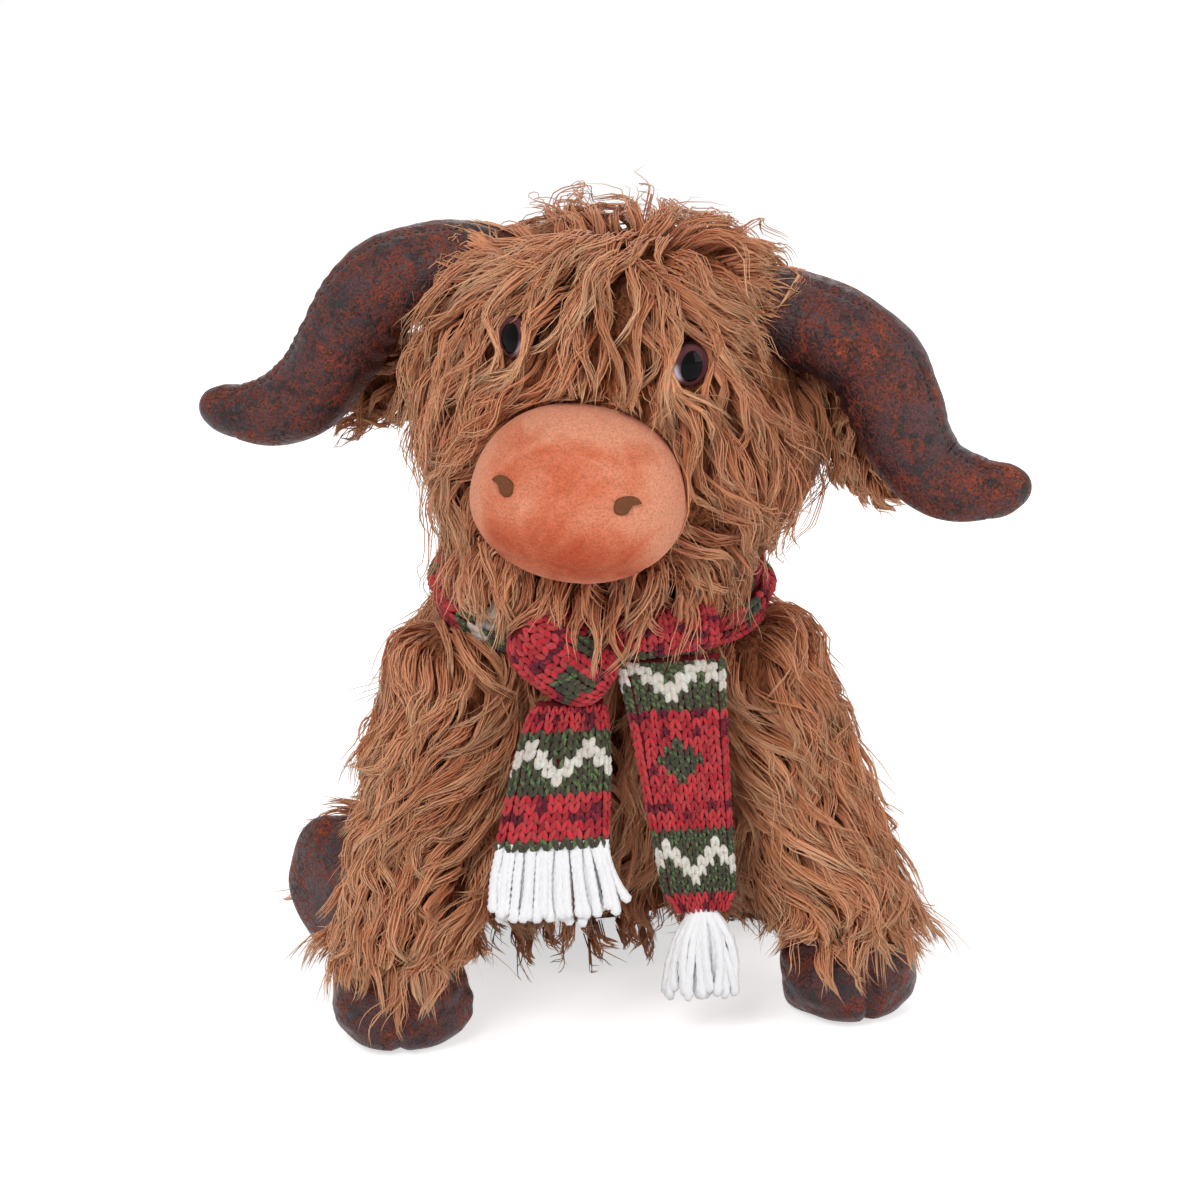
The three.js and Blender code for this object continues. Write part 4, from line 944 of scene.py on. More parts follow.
# The knot, the crossing beside it, and the two ends: each end's top, its reach aside, out and down, its half
# width at top and foot with how fast that changes, its folds, the half width of what hangs below it, and how
# much it gathers at its foot
KNOT_CENTRE = loop_point(np.array(0.0)) + np.array([-24, -10, -3])
CROSS_CENTRE = KNOT_CENTRE + np.array([35, 1, 7])
END_SIZES = {
    "right": {"top": KNOT_CENTRE + np.array([2, 0, -21]), "aside": -9, "proud": 16, "length": 46,
              "wide": (13, 20), "taper": 0.6, "folds": 3, "past": 22, "gather": 0},
    "left": {"top": CROSS_CENTRE + np.array([4, -2, -13]), "aside": 9, "proud": 14, "length": 88,
             "wide": (19, 12.5), "taper": 0.8, "folds": 2, "past": 14, "gather": 0.28},
}


def behind_scarf(points):
    """Points of the coat that would come through the scarf's hanging ends moved back behind them."""
    points = points.copy()
    for end in END_SIZES.values():
        down = np.clip((end["top"][2] + 6 - points[..., 2]) / end["length"], 0, 1.7)
        on = np.minimum(down, 1)
        middle_x = end["top"][0] + end["aside"] * on
        middle_y = end["top"][1] - end["proud"] * on
        wide = end["wide"][0] + (end["wide"][1] - end["wide"][0]) * on ** end["taper"]
        wide = np.where(down > 1, end["past"], wide)
        share = smooth((wide + 3 - np.abs(points[..., 0] - middle_x)) / 3)
        share = share * (points[..., 2] < end["top"][2] + 6) * (points[..., 1] < 60)
        limit = middle_y + 6.0
        points[..., 1] += share * np.maximum(limit - points[..., 1], 0)
    return points


LOOP_LINE = loop_point(circle(40))


# Coat
ANY_PHASE = 6.3
ABOVE_FLOOR = 0.8
CORE_SUNK = 1.3
CORE_STATIONS = 7
CORE_FLATNESS = 0.4
CORE_SIDES = 4
HAIR_SIDES = 3
UNBLOCKED = 0.04
WISPS = {"steps": 14, "stations": 13, "hairs": 3, "width": (0.3, 0.5), "spread": 1.2, "hair": 0.24}


def swirl(points, seed):
    """Smooth wandering angle over space: four waves added up, in radians."""
    rng = np.random.default_rng(seed)
    angle = 0
    for strength, pace in ((0.4, 0.045), (0.36, 0.08), (0.3, 0.15), (0.17, 0.28)):
        way = unit(rng.normal(size=3)) * pace
        other = unit(rng.normal(size=3)) * pace
        phase = rng.random() * ANY_PHASE
        angle = angle + strength * np.sin(points @ way + phase + 1.5 * np.sin(points @ other))
    return angle


def swirled(way, point, normal, seed, strength):
    """A way over a skin turned aside by the swirl there."""
    return way + np.cross(normal, way) * swirl(point, seed)[:, None] * strength


def drift(way, seed, strength):
    """A flow that goes one way everywhere, but for the swirl."""
    def flow(point, normal):
        return swirled(np.asarray(way, float), point, normal, seed, strength)

    return flow


def lock_paths(fall, place, flow, length, height, steps, rng, wave, curl):
    """Middle lines of locks. Each starts at a place, follows the flow over the fall in equal steps, rises to
    its own height over it, and sways from side to side in a growing wave."""
    count = len(place)
    path = np.zeros((count, steps + 1, 3))
    wander = rng.normal(0, 0.16, count)
    bend = rng.normal(0, 0.5, count)
    phase, lift_phase = rng.random(count) * ANY_PHASE, rng.random(count) * ANY_PHASE
    tip_lift = np.abs(rng.normal(0, 1.6, count)) + 7 * (rng.random(count) < 0.06)
    for k in range(steps + 1):
        t = k / steps
        point, normal = fall.at(place)
        way = flow(point, normal)
        way = unit(way - normal * (way * normal).sum(-1, keepdims=True))
        side = np.cross(normal, way)
        turn = (wander + bend * t)[:, None]
        way = way * np.cos(turn) + side * np.sin(turn)
        run = 2 * math.pi * length * t / wave
        grow = smooth(np.array(t * 1.5)) * curl
        rise = height * smooth(np.array(t * 3.2)) - 1.5 * (1 - smooth(np.array(t * 4)))
        rise = rise + 0.55 * grow * np.sin(run * 0.93 + lift_phase) + tip_lift * t**2
        path[:, k] = point + normal * rise[:, None] + side * (np.sin(run + phase) * grow)[:, None]
        place = fall.walk(place, way, length / steps)
    return path


def along_path(path, t):
    """Points of paths at shares t of their length; each path and each share is read between two points."""
    steps = path.shape[1] - 1
    place = np.clip(t, 0, 1) * steps
    i = np.minimum(place.astype(int), steps - 1)
    f = (place - i)[..., None]
    rows = np.arange(len(path))[:, None]
    return path[rows, i] * (1 - f) + path[rows, i + 1] * f


def strands(paths, radius, flatness, outward, numbers, sides, profile):
    """Tapered tubes along paths with an oval section: round it, a point stands at
    (r cos a, r flatness sin a). Returns the points, quads, triangles, the colours that tell along, lock and
    hair, and the UV."""
    total, stations = paths.shape[:2]
    along = unit(np.gradient(paths, axis=1))
    side = unit(np.cross(outward[:, None], along))
    up = np.cross(along, side)
    angle = circle(sides)
    t = np.linspace(0, 1, stations)
    size = radius[:, None] * profile(t)
    across = (size[:, :-1, None] * np.cos(angle))[..., None]
    deep = (size[:, :-1, None] * np.sin(angle) * flatness)[..., None]
    rings = paths[:, :-1, None] + side[:, :-1, None] * across + up[:, :-1, None] * deep
    rings = rings.reshape(total, -1, 3)
    tips = paths[:, -1:]
    points = np.concatenate([rings, tips], 1)
    each = points.shape[1]
    quads, round_share, ring = tube_faces(stations - 1, sides)
    last = (stations - 2) * sides
    j = np.arange(sides)
    k = (j + 1) % sides
    tip = np.stack([last + j, last + k, np.full(sides, each - 1)], -1)
    root = np.stack([np.zeros(sides - 2, int), j[2:], j[1:-1]], -1)
    triangles = np.concatenate([tip, root])
    base = (np.arange(total) * each)[:, None, None]
    quad_uv = np.stack([round_share, ring / (stations - 1)], -1)
    tip_uv = cap_uv(sides, (stations - 2) / (stations - 1), 1)
    triangle_uv = np.concatenate([tip_uv, np.zeros((sides - 2, 3, 2))])
    along_values = np.concatenate([np.repeat(t[:-1], sides), [1.0]])
    colours = np.ones((total, each, 4))
    colours[..., 0] = along_values
    colours[..., 1] = numbers[:, 0:1]
    colours[..., 2] = numbers[:, 1:2]
    return {
        "points": points, "quads": (quads[None] + base), "triangles": (triangles[None] + base),
        "colours": colours, "quad_uv": np.broadcast_to(quad_uv, (total, *quad_uv.shape)),
        "triangle_uv": np.broadcast_to(triangle_uv, (total, *triangle_uv.shape)),
    }


MOST_TRIANGLES = 185000


def strand_pieces(name, sets, body):
    """Strands made into pieces of no more triangles than the most, each set split evenly over them."""
    weight = sum(s["quads"].shape[0] * (2 * s["quads"].shape[1] + s["triangles"].shape[1]) for s in sets)
    parts = int(math.ceil(weight / MOST_TRIANGLES))
    for part in range(parts):
        points, quads, triangles, colours, quad_uv, triangle_uv = [], [], [], [], [], []
        start = 0
        for s in sets:
            total, each = s["points"].shape[:2]
            low, high = part * total // parts, (part + 1) * total // parts
            shift = start - low * each
            points.append(s["points"][low:high].reshape(-1, 3))
            colours.append(s["colours"][low:high].reshape(-1, 4))
            quads.append((s["quads"][low:high] + shift).reshape(-1, 4))
            triangles.append((s["triangles"][low:high] + shift).reshape(-1, 3))
            quad_uv.append(s["quad_uv"][low:high].reshape(-1, 2))
            triangle_uv.append(s["triangle_uv"][low:high].reshape(-1, 2))
            start += (high - low) * each
        label = name if parts == 1 else f"{name}_{part + 1}"
        uv = np.concatenate(quad_uv + triangle_uv)
        piece(label, np.concatenate(points), np.concatenate(quads), np.concatenate(triangles), FUR,
              body, [("lock", np.concatenate(colours))], uv)


def lock_profile(t):
    """How wide a lock is along its length: narrow at the root, full at a third, and drawn to a point."""
    return np.interp(t, [0, 0.12, 0.35, 0.7, 0.9, 1], [0.5, 0.85, 1, 0.72, 0.32, 0.02])


def hair_profile(t):
    """How thick a hair bundle is along its length."""
    return np.interp(t, [0, 0.3, 0.75, 1], [0.9, 1, 0.72, 0.05])


def coat(name, fall, count, flow, body, seed, length=(34, 50), height=(3, 10), hairs=12, width=(0.9, 1.7),
         spread=3.4, top=0.0, bottom=1.0, keep=None, clear=None, bring=None, barrier=None, stop=None,
         wave=(22, 36), curl=(1.2, 3.0), hair=0.3, stray=0.12, steps=9, stations=7):
    """The coat of one form: locks scattered over it, each a flat core under a bundle of hairs that start
    round it and gather towards its tip. top and bottom bound the shares of the fall that roots lie on. keep
    says which roots to keep, barrier where a lock ends early, stop the level that tips end at, clear moves
    points off what is in the way, and bring takes points into the toy's measures."""
    rng = np.random.default_rng(SEED + seed)
    place = fall.scatter(count, rng, top, bottom)
    if keep is not None:
        place = place[keep(*fall.at(place))]
    count = len(place)
    root, normal = fall.at(place)
    long = rng.uniform(*length, count)
    if stop is not None:
        long = np.clip(root[:, 2] - stop + rng.normal(0, 5, count), 9, long)
    path = lock_paths(fall, place, flow, long, rng.uniform(*height, count), steps, rng,
                      rng.uniform(*wave, count), rng.uniform(*curl, count))
    if barrier is not None:
        blocked = barrier(path) & (rng.random((count, 1)) > UNBLOCKED)
        first = np.where(blocked.any(1), np.argmax(blocked, axis=1) - 0.2, steps) / steps
        path = along_path(path, np.maximum(first, 0.2)[:, None] * np.linspace(0, 1, steps + 1))
    numbers = rng.random((count, 2))
    clear = clear or (lambda points: points)
    bring = bring or (lambda points: points)

    def finish(points):
        points = bring(clear(points))
        points[..., 2] = np.maximum(points[..., 2], ABOVE_FLOOR)
        return points

    turn = HEAD_AXES.T if bring is out_of_head else np.eye(3)
    outward = normal @ turn
    core = along_path(path, np.linspace(0, 0.93, CORE_STATIONS)[None] * np.ones((count, 1)))
    core = core - normal[:, None] * CORE_SUNK
    cores = strands(finish(core), rng.uniform(*width, count), CORE_FLATNESS, outward, numbers * [1, 0.25],
                    CORE_SIDES, lock_profile)

    lock = np.repeat(np.arange(count), hairs)
    total = len(lock)
    side = unit(np.cross(normal, path[:, -1] - path[:, 0]))[lock]
    ahead = np.cross(side, normal[lock])
    angle, far = rng.random(total) * ANY_PHASE, np.sqrt(rng.random(total)) * spread
    offset = side * (np.cos(angle) * far)[:, None] + ahead * (np.sin(angle) * far)[:, None]
    t = np.linspace(0, 1, stations)
    begin, reach = rng.uniform(0, 0.16, total), rng.uniform(0.72, 1.0, total)
    path = along_path(path[lock], begin[:, None] + (reach - begin)[:, None] * t)
    loose = 1 - rng.uniform(0.45, 0.95, total)[:, None] * smooth(t * 1.1)
    away = (rng.random(total) < stray) * rng.uniform(2, 9, total)
    astray = unit(rng.normal(size=(total, 3)) + normal[lock] * 1.1)
    frizz = np.sin(t * rng.uniform(5, 12, total)[:, None] + rng.random((total, 1)) * ANY_PHASE)
    frizz = frizz * 0.4 * smooth(t * 2)
    lift = rng.uniform(0, 2.4, total)[:, None] * smooth(t * 2)
    path = path + offset[:, None] * loose[..., None] + normal[lock][:, None] * lift[..., None]
    path = path + side[:, None] * frizz[..., None] + astray[:, None] * (away[:, None] * t**1.6)[..., None]
    own = np.clip(numbers[lock, 0] + rng.normal(0, 0.15, total), 0, 1)
    thick = rng.uniform(0.7, 1.2, total) * hair
    fine = strands(finish(path), thick, 1.0, outward[lock], np.stack([own, rng.random(total)], 1),
                   HAIR_SIDES, hair_profile)
    strand_pieces(name, [cores, fine], body)


def body_coat():
    """Trunk: skin, and a coat that hangs down with slow swirls."""
    skin, fall = trunk_forms()
    base = skin_piece("trunk_padding", skin, BACKING, "body",
                      replaces=("body_skin", "body_stuffing", "pellet_bag"))
    surface = Surface(fall)
    knot_room = np.array([22.0, 16, 20])

    def flow(point, normal):
        angle = swirl(point, 3)
        out = unit(point * np.array([1, 1, 0]) - np.array([0, 80.0, 0]))
        side = np.cross(out, np.array([0, 0, 1.0]))
        return np.array([0, 0, -1.0]) + out * 0.15 + side * angle[:, None] * 0.9

    def keep(point, normal):
        in_knot = in_oval(point, KNOT_CENTRE, knot_room)
        return (gap_to_line(point, LOOP_LINE) > 8.5) & ~in_knot & (point[:, 2] < 154)

    def clear(points):
        points = out_of_tube(points, LOOP_LINE, 9.0)
        return behind_scarf(points)

    coat("trunk_coat", surface, 870, flow, "body", 1, bottom=0.8, keep=keep, clear=clear, stop=20)
    coat("shoulder_coat", surface, 150, flow, "body", 36, bottom=0.34, hairs=10, keep=keep, clear=clear)
    coat("trunk_wisps", surface, 130, flow, "body", 31, length=(44, 62), height=(9, 15), bottom=0.8,
         keep=keep, clear=clear, stop=16, wave=(26, 44), curl=(2.5, 5.5), stray=0.4, **WISPS)


def head_coat():
    """Head: skin, and a coat that falls from the crown, parts over the muzzle and hangs from the cheeks."""
    skin, fall = head_forms()
    base = skin_piece("head_padding", out_of_head(skin), BACKING, "head",
                      replaces=("head_skin", "head_stuffing"))
    surface = Globe(fall, (0, HEAD_BACK, 0))
    eyes = {side: eye_place(side) for side in (1, -1)}
    horns = {name: horn_line(side, name, 24) for name, side in SIDES.items()}
    whorl = np.array([-3.0, -30, 53])

    def flow(point, normal):
        """Out from a whorl over the forehead to all sides, turning down with distance, and aside round the
        muzzle."""
        angle = swirl(point, 7)
        from_whorl = point - whorl
        far = np.linalg.norm(from_whorl, axis=1)
        way = unit(from_whorl) * 1.1
        way[:, 2] -= 0.1 + 0.95 * smooth((far - 14) / 50)
        way[:, 0] -= 0.5 * bell(point[:, 0] + 30, 18) * smooth((point[:, 2] - 20) / 30)
        from_muzzle = point - MUZZLE_CENTRE
        gap = np.hypot(from_muzzle[:, 0], from_muzzle[:, 2])
        near = bell(gap - 34, 22) * (point[:, 1] < 0)
        part = np.stack([from_muzzle[:, 0], 0 * gap, np.minimum(from_muzzle[:, 2], 0)], 1)
        way = way + part * (near / np.maximum(gap, 6) * 1.8)[:, None]
        side = np.cross(normal, unit(way))
        return unit(way) + side * angle[:, None] * 1.05

    def before_horn(points):
        """Whether a place covers the left horn, which comes out in front of the coat."""
        line = horns["left"][0]
        gap = np.linalg.norm((points[..., None, :] - line) * np.array([1, 0.3, 1]), axis=-1).min(-1)
        return (gap < 18.5) & (points[..., 1] < 8) & (points[..., 0] > 50)

    def keep(point, normal):
        kept = ~in_oval(point, MUZZLE_CENTRE, MUZZLE_HALF - 1)
        for seat, outward in eyes.values():
            gap = point - seat
            away = np.linalg.norm(gap - outward * (gap @ outward)[:, None], axis=-1)
            kept &= (away > 8.5) | ((gap @ outward) < -20)
        return kept & (gap_to_line(point, horns["right"][0]) > 15) & ~before_horn(point)

    def barrier(points):
        return in_oval(points, MUZZLE_CENTRE, MUZZLE_HALF + 0.5) | before_horn(points)

    def clear(points):
        points = out_of_oval(points, MUZZLE_CENTRE, MUZZLE_HALF + 0.8)
        for line, radius in horns.values():
            points = out_of_tube(points, line, radius + 1.0)
        for side, (seat, outward) in eyes.items():
            points = off_the_eye(points, seat, outward, 8.0 if side > 0 else 6.8)
        return points

    held = {"clear": clear, "barrier": barrier, "bring": out_of_head}
    coat("head_coat", surface, 960, flow, "head", 2, length=(32, 56), height=(2, 9), hairs=13, hair=0.28,
         bottom=0.84, keep=keep, curl=(1.6, 4.0), stray=0.2, **held)
    coat("head_wisps", surface, 170, flow, "head", 32, length=(40, 60), height=(8, 16), bottom=0.8,
         keep=keep, wave=(26, 44), curl=(3, 6.5), stray=0.5, **held, **WISPS)

    def on_the_whorl(point, normal):
        return np.linalg.norm(point - whorl - np.array([0, 10, 5]), axis=1) < 21

    def forward(point, normal):
        x = point[:, 0]
        way = np.stack([0.02 * (x + 3), -1.0 + 0 * x, -0.8 + 0 * x], 1)
        return swirled(way, point, normal, 8, 0.8)

    coat("forelock", surface, 800, forward, "head", 35, length=(34, 56), height=(4, 9), bottom=0.5,
         keep=on_the_whorl, curl=(1.6, 3.6), stray=0.2, **held)

    def by_the_horn(point, normal):
        gap = gap_to_line(point, horns["right"][0])
        return (gap > 15) & (gap < 27) & (point[:, 1] < 4) & (point[:, 0] < -34) & (point[:, 2] > 2)

    def sideways(point, normal):
        return np.array([-1.0, -0.1, -0.3]) + 0 * point

    coat("horn_wisps", surface, 380, sideways, "head", 33, steps=14, stations=13, length=(46, 70),
         height=(6, 13), hairs=8, width=(0.5, 0.9), spread=2.0, bottom=0.8, keep=by_the_horn, clear=clear,
         bring=out_of_head, wave=(40, 60), curl=(3, 6), hair=0.26, stray=0.4)

    chin = drawn_out([
        [-60.5, 0, -20, 3, 3], [-60.5, 0, -18, 18, 12], [-60, 0, -12, 36, 26], [-58, 0, -5, 48, 38],
        [-64, 0, -3, 50, 43], [-76, 0, -3, 47, 42], [-95, 0, -5, 43, 40], [-125, 0, -8, 40, 38],
    ], 60)

    def beard_flow(point, normal):
        way = np.stack([point[:, 0] * 0.02, (point[:, 1] + 12) * 0.04, -np.ones(len(point))], 1)
        return swirled(way, point, normal, 9, 0.55)

    def in_front(point, normal):
        return (point[:, 1] < -12) & (np.abs(point[:, 0]) < 46)

    coat("beard", Surface(oval_rings(chin, 48)), 330, beard_flow, "head", 16, length=(20, 34), height=(0, 6),
         bottom=0.62, keep=in_front, stray=0.25, **held)


def eye_place(side):
    """Seat and outward direction of an eye, in the head's measures, on the head's front."""
    wide, deep = head_size(EYE_HEIGHT)
    angle = math.radians(EYE_ASIDE)
    outward = np.array([side * math.sin(angle), -math.cos(angle), 0])
    reach = 1 / math.hypot(outward[0] / wide, outward[1] / deep)
    surface = np.array([outward[0] * reach, HEAD_BACK + outward[1] * reach, EYE_HEIGHT])
    return surface - outward * EYE_SUNK, outward


def off_the_eye(points, seat, outward, rim):
    """Locks parted to both sides of an eye and laid low round it: each passes on the side where it comes
    nearest, moved by what its offset lacks to the rim, and none stands higher than a dimple's slope."""
    gap = points - seat
    ahead = gap @ outward
    across = gap - outward * ahead[..., None]
    heading = unit(across[:, -1] - across[:, 0] + 1e-3)
    lateral = np.cross(outward, heading)
    along = (across * heading[:, None]).sum(-1)
    offset = (across * lateral[:, None]).sum(-1)
    passing = offset[np.arange(len(points)), np.abs(along).argmin(1)]
    near = (np.linalg.norm(across, axis=-1).min(1) < rim + 3) & (ahead.max(1) > -8)
    lack = np.maximum(rim + 0.6 - np.abs(passing), 0) * np.where(passing < 0, -1, 1) * near
    points = points + lateral[:, None] * (lack[:, None] * np.exp(-0.6 * (along / rim) ** 2))[..., None]
    gap = points - seat
    ahead = gap @ outward
    across = gap - outward * ahead[..., None]
    size = np.linalg.norm(across, axis=-1)
    too_high = np.maximum(ahead - 3.2 - 0.8 * np.maximum(size - rim, 0), 0) * (size < 26)
    points = points - outward * too_high[..., None]
    inside = (size < rim) & (ahead > -12) & (ahead < 34)
    moved = points + across / np.maximum(size, 1e-6)[..., None] * (rim - size)[..., None]
    return np.where(inside[..., None], moved, points)


def leg_coats():
    """Front and hind legs: skins and coats that run down to the hooves and over their tops."""
    trunk_table = trunk_rows(TRUNK_PILE)[::-1]

    def outside_trunk(point, normal):
        level = point[:, 2]
        wide = np.interp(level, trunk_table[:, 0], trunk_table[:, 3])
        deep = np.interp(level, trunk_table[:, 0], trunk_table[:, 4])
        middle = np.interp(level, trunk_table[:, 0], trunk_table[:, 2])
        return np.hypot(point[:, 0] / wide, (point[:, 1] - middle) / deep) > 0.93

    for name, side in SIDES.items():
        skin, fall = front_leg_forms(side)
        base = skin_piece(f"front_leg_padding_{name}", skin, BACKING, f"front_leg_{name}",
                          replaces=(f"front_leg_{name}", f"front_leg_stuffing_{name}"))

        flow = drift((side * 0.28, -0.3, -1.0), 11 + side, 0.85)
        held = {"bottom": 0.64, "keep": outside_trunk, "clear": behind_scarf}
        coat(f"front_leg_coat_{name}", Surface(fall), 415, flow, f"front_leg_{name}", 3 + side,
             length=(28, 46), height=(2, 8), stop=19, **held)
        coat(f"front_leg_wisps_{name}", Surface(fall), 40, flow, f"front_leg_{name}", 23 + side,
             length=(34, 54), height=(5, 9), stop=8, wave=(24, 40), curl=(2.5, 5), stray=0.4, **held,
             **WISPS)

        skin, fall = hind_leg_forms(side)
        base = skin_piece(f"hind_leg_padding_{name}", skin, BACKING, f"hind_leg_{name}",
                          replaces=(f"hind_leg_{name}", f"hind_leg_stuffing_{name}"))
        heading = hind_leg_line(side)[1]
        flow = drift(heading + np.array([0, 0, -0.55]), 21 + side, 0.7)
        coat(f"hind_leg_coat_{name}", Surface(fall), 150, flow, f"hind_leg_{name}", 7 + side,
             length=(16, 28), bottom=0.56, height=(2, 6), keep=outside_trunk)


def ear_coats():
    """Ears: leaves with a coat that runs to their tips and hangs past them."""
    for name, side in SIDES.items():
        skin, fall = ear_forms(side)
        ear = skin_piece(f"ear_cloth_{name}", out_of_head(skin), BACKING, f"ear_{name}",
                         replaces=(f"ear_{name}",))

        flow = drift((side * 0.6, 0, -0.9), 31 + side, 0.7)
        coat(f"ear_coat_{name}", Surface(fall), 80, flow, f"ear_{name}", 11 + side, length=(9, 17), top=0.08,
             bottom=0.64, height=(1, 4), width=(1.0, 1.8), spread=2.2, bring=out_of_head)


def tail_coat():
    """Tail: a thin stuffed tube of fur cloth with a short coat, and a long tuft at its end."""
    skin, fall = tail_forms()
    tail = skin_piece("tail_skin", skin, BACKING, "tail", replaces=("tail", "tail_tuft"))

    def flow(point, normal):
        return np.array([0, 0, -1.0]) + np.cross(normal, [0, 0, 1.0]) * swirl(point, 41)[:, None] * 0.5

    coat("tail_coat", Surface(fall), 56, flow, "tail", 15, length=(16, 34), top=0.03, bottom=0.72,
         height=(0.8, 3.2), width=(1.0, 1.8), spread=2.0)


# Leather
SEAM_ROUND = 0.45
HORN_COUNT = 64
HORN_SEAM = slice(14, 112)
SOLE_LEVEL = 0.3


def horn_rings(side, name):
    """A horn's skin: rings along its line, drawn in along the seam on its upper side, with puckers beside
    the seam and soft creases inside its bend."""
    line, radius = horn_line(side, name, 120)
    run = run_along(line)
    tip = run[-1] - run
    round_tip, tip_radius = 16, 10.3
    radius = np.where(tip < round_tip, tip_radius * np.sqrt(np.maximum(1 - (1 - tip / round_tip) ** 2, 1e-5)),
                      radius)
    across, deep = frames_along(line, np.array([0, 1.0, 0]))
    angle = circle(HORN_COUNT)[None]
    up = across[:, 2:3] * np.cos(angle) + deep[:, 2:3] * np.sin(angle)
    top = np.argmax(up[20])
    away = wrapped(angle - angle[0, top]) * side
    run = run[:, None]
    groove = bell(away - SEAM_ROUND, 0.08) * 0.9
    pucker = bell(away - SEAM_ROUND, 0.45) * 0.36 * np.sin(run * 1.15 + 1.3 * np.sin(run * 0.21))
    inner = bell(np.abs(away) - math.pi, 0.9)
    bend = bell(run - 62, 20)
    crease = inner * bend * 0.7 * np.sin(run * 0.75 + 0.8 * np.sin(angle * 3))
    slow = 0.35 * np.sin(run * 0.13 + angle * 2) + 0.2 * np.sin(run * 0.31 - angle * 3)
    size = radius[:, None] + (slow + pucker + crease - groove) * smooth(tip / 14)[:, None]
    return (line[:, None] + across[:, None] * (np.cos(angle) * size)[..., None]
            + deep[:, None] * (np.sin(angle) * size)[..., None])


def hoof_rings(radius, height, cleft_width, cleft_depth):
    """A hoof about its own sole: rings of the hoof's profile, rounded at the sole, and drawn in by the cleft
    in front and by the seam round its top."""
    profile = drawn_out(np.array([
        [0.0, 0.0], [0.004, 0.4], [0.02, 0.64], [0.07, 0.82], [0.17, 0.94], [0.32, 0.99], [0.48, 1.0],
        [0.66, 0.96], [0.86, 0.85], [0.97, 0.75], [1.0, 0.68], [1.0, 0.3],
    ]), 64)
    level, wide = np.maximum(profile[:, 0], 0) * height, np.maximum(profile[:, 1], 0.005) * radius
    count = 80
    angle = circle(count)[None]
    front = wrapped(angle - 1.5 * math.pi)
    reach = smooth((height * 0.86 - level[:, None]) / (height * 0.35))
    cleft = bell(front * radius, cleft_width * 0.5) * cleft_depth * 0.34 * reach
    cleft = cleft * np.minimum(1, wide[:, None] / (0.6 * radius))
    seam = bell(level[:, None] - height * 0.8, 0.9) * 0.7
    pucker = bell(level[:, None] - height * 0.8, 4) * 0.3 * np.sin(angle * 23)
    slow = 0.8 * np.sin(angle * 3 + level[:, None] * 0.2) + 0.5 * np.sin(angle * 5 - level[:, None] * 0.3)
    slow = slow + 0.35 * np.sin(level[:, None] * 0.9 + 2.2 * np.sin(angle * 2)) * np.cos(angle * 4)
    body = smooth(wide[:, None] / (0.8 * radius))
    size = wide[:, None] - cleft + (slow + pucker - seam) * body - 0.4
    size = np.maximum(size, 0.05)
    z = np.repeat(level[:, None], count, 1)
    return np.stack([size * np.cos(angle), size * np.sin(angle), z], -1)


def set_hoof(rings, sole, front, place):
    """Turns a hoof so that its sole faces one direction and its cleft another, and sets its sole down."""
    up, back = -np.asarray(sole, float), -np.asarray(front, float)
    across = np.cross(back, up)
    return rings @ np.stack([across, back, up]) + place


def stitches(name, line, out, body):
    """Short thread stitches along a line: each a thin bar that dips into the leather at both ends."""
    length, gap, thick = 1.6, 1.0, 0.13
    run = run_along(line)
    starts = np.arange(2, run[-1] - length, length + gap)
    t = np.linspace(0, 1, 6)
    place = starts[:, None] + t[None] * length
    path = np.stack([np.interp(place, run, line[:, c]) for c in range(3)], -1)
    lift = np.stack([np.interp(starts, run, out[:, c]) for c in range(3)], -1)
    path = path + lift[:, None] * (np.sin(t * math.pi) * 0.4 - 0.12)[None, :, None]
    numbers = np.zeros((len(path), 2))
    s = strands(path, np.full(len(path), thick), 1.0, lift, numbers, 4,
                lambda t: np.interp(t, [0, 1], [1, 0.9]))
    uv = np.concatenate([s["quad_uv"].reshape(-1, 2), s["triangle_uv"].reshape(-1, 2)])
    return piece(name, s["points"].reshape(-1, 3), s["quads"].reshape(-1, 4), s["triangles"].reshape(-1, 3),
                 THREAD, body, uv=uv)


THREAD = cotton_finish("dark_thread", linear(22, 15, 17), linear(52, 34, 34))


def leather_pieces():
    """Horns and hooves, stuffed and stitched."""
    for name, side in SIDES.items():
        rings = horn_rings(side, name)
        horn = skin_piece(f"horn_leather_{name}", out_of_head(rings), LEATHER, "head",
                          replaces=(f"horn_{name}", f"horn_stuffing_{name}"))
        top = int(np.argmax(rings[24, :, 2]))
        column = (top + round(side * SEAM_ROUND / (2 * math.pi) * HORN_COUNT)) % HORN_COUNT
        seam = rings[HORN_SEAM, column]
        out = unit(seam - rings[HORN_SEAM].mean(1))
        stitches(f"horn_stitches_{name}", out_of_head(seam), out @ HEAD_AXES.T, "head")

        toe = math.radians(10)
        rings = hoof_rings(radius=25.5, height=33, cleft_width=5, cleft_depth=11)
        front = np.array([side * math.sin(toe), -math.cos(toe), 0])
        sole = np.array([side * FRONT_FOOT[0], FRONT_FOOT[1], SOLE_LEVEL])
        placed = set_hoof(rings, (0, 0, -1), front, sole)
        hoof = skin_piece(f"front_hoof_leather_{name}", placed, LEATHER, f"front_leg_{name}",
                          replaces=(f"front_hoof_{name}",))

        hip, heading = hind_leg_line(side)
        rings = hoof_rings(radius=27.5, height=30, cleft_width=5, cleft_depth=10)
        placed = set_hoof(rings, heading, (0, 0, 1), hip + heading * HIND_SOLE)
        placed[..., 2] = np.maximum(placed[..., 2], SOLE_LEVEL)
        hoof = skin_piece(f"hind_hoof_leather_{name}", placed, LEATHER, f"hind_leg_{name}",
                          replaces=(f"hind_hoof_{name}",))


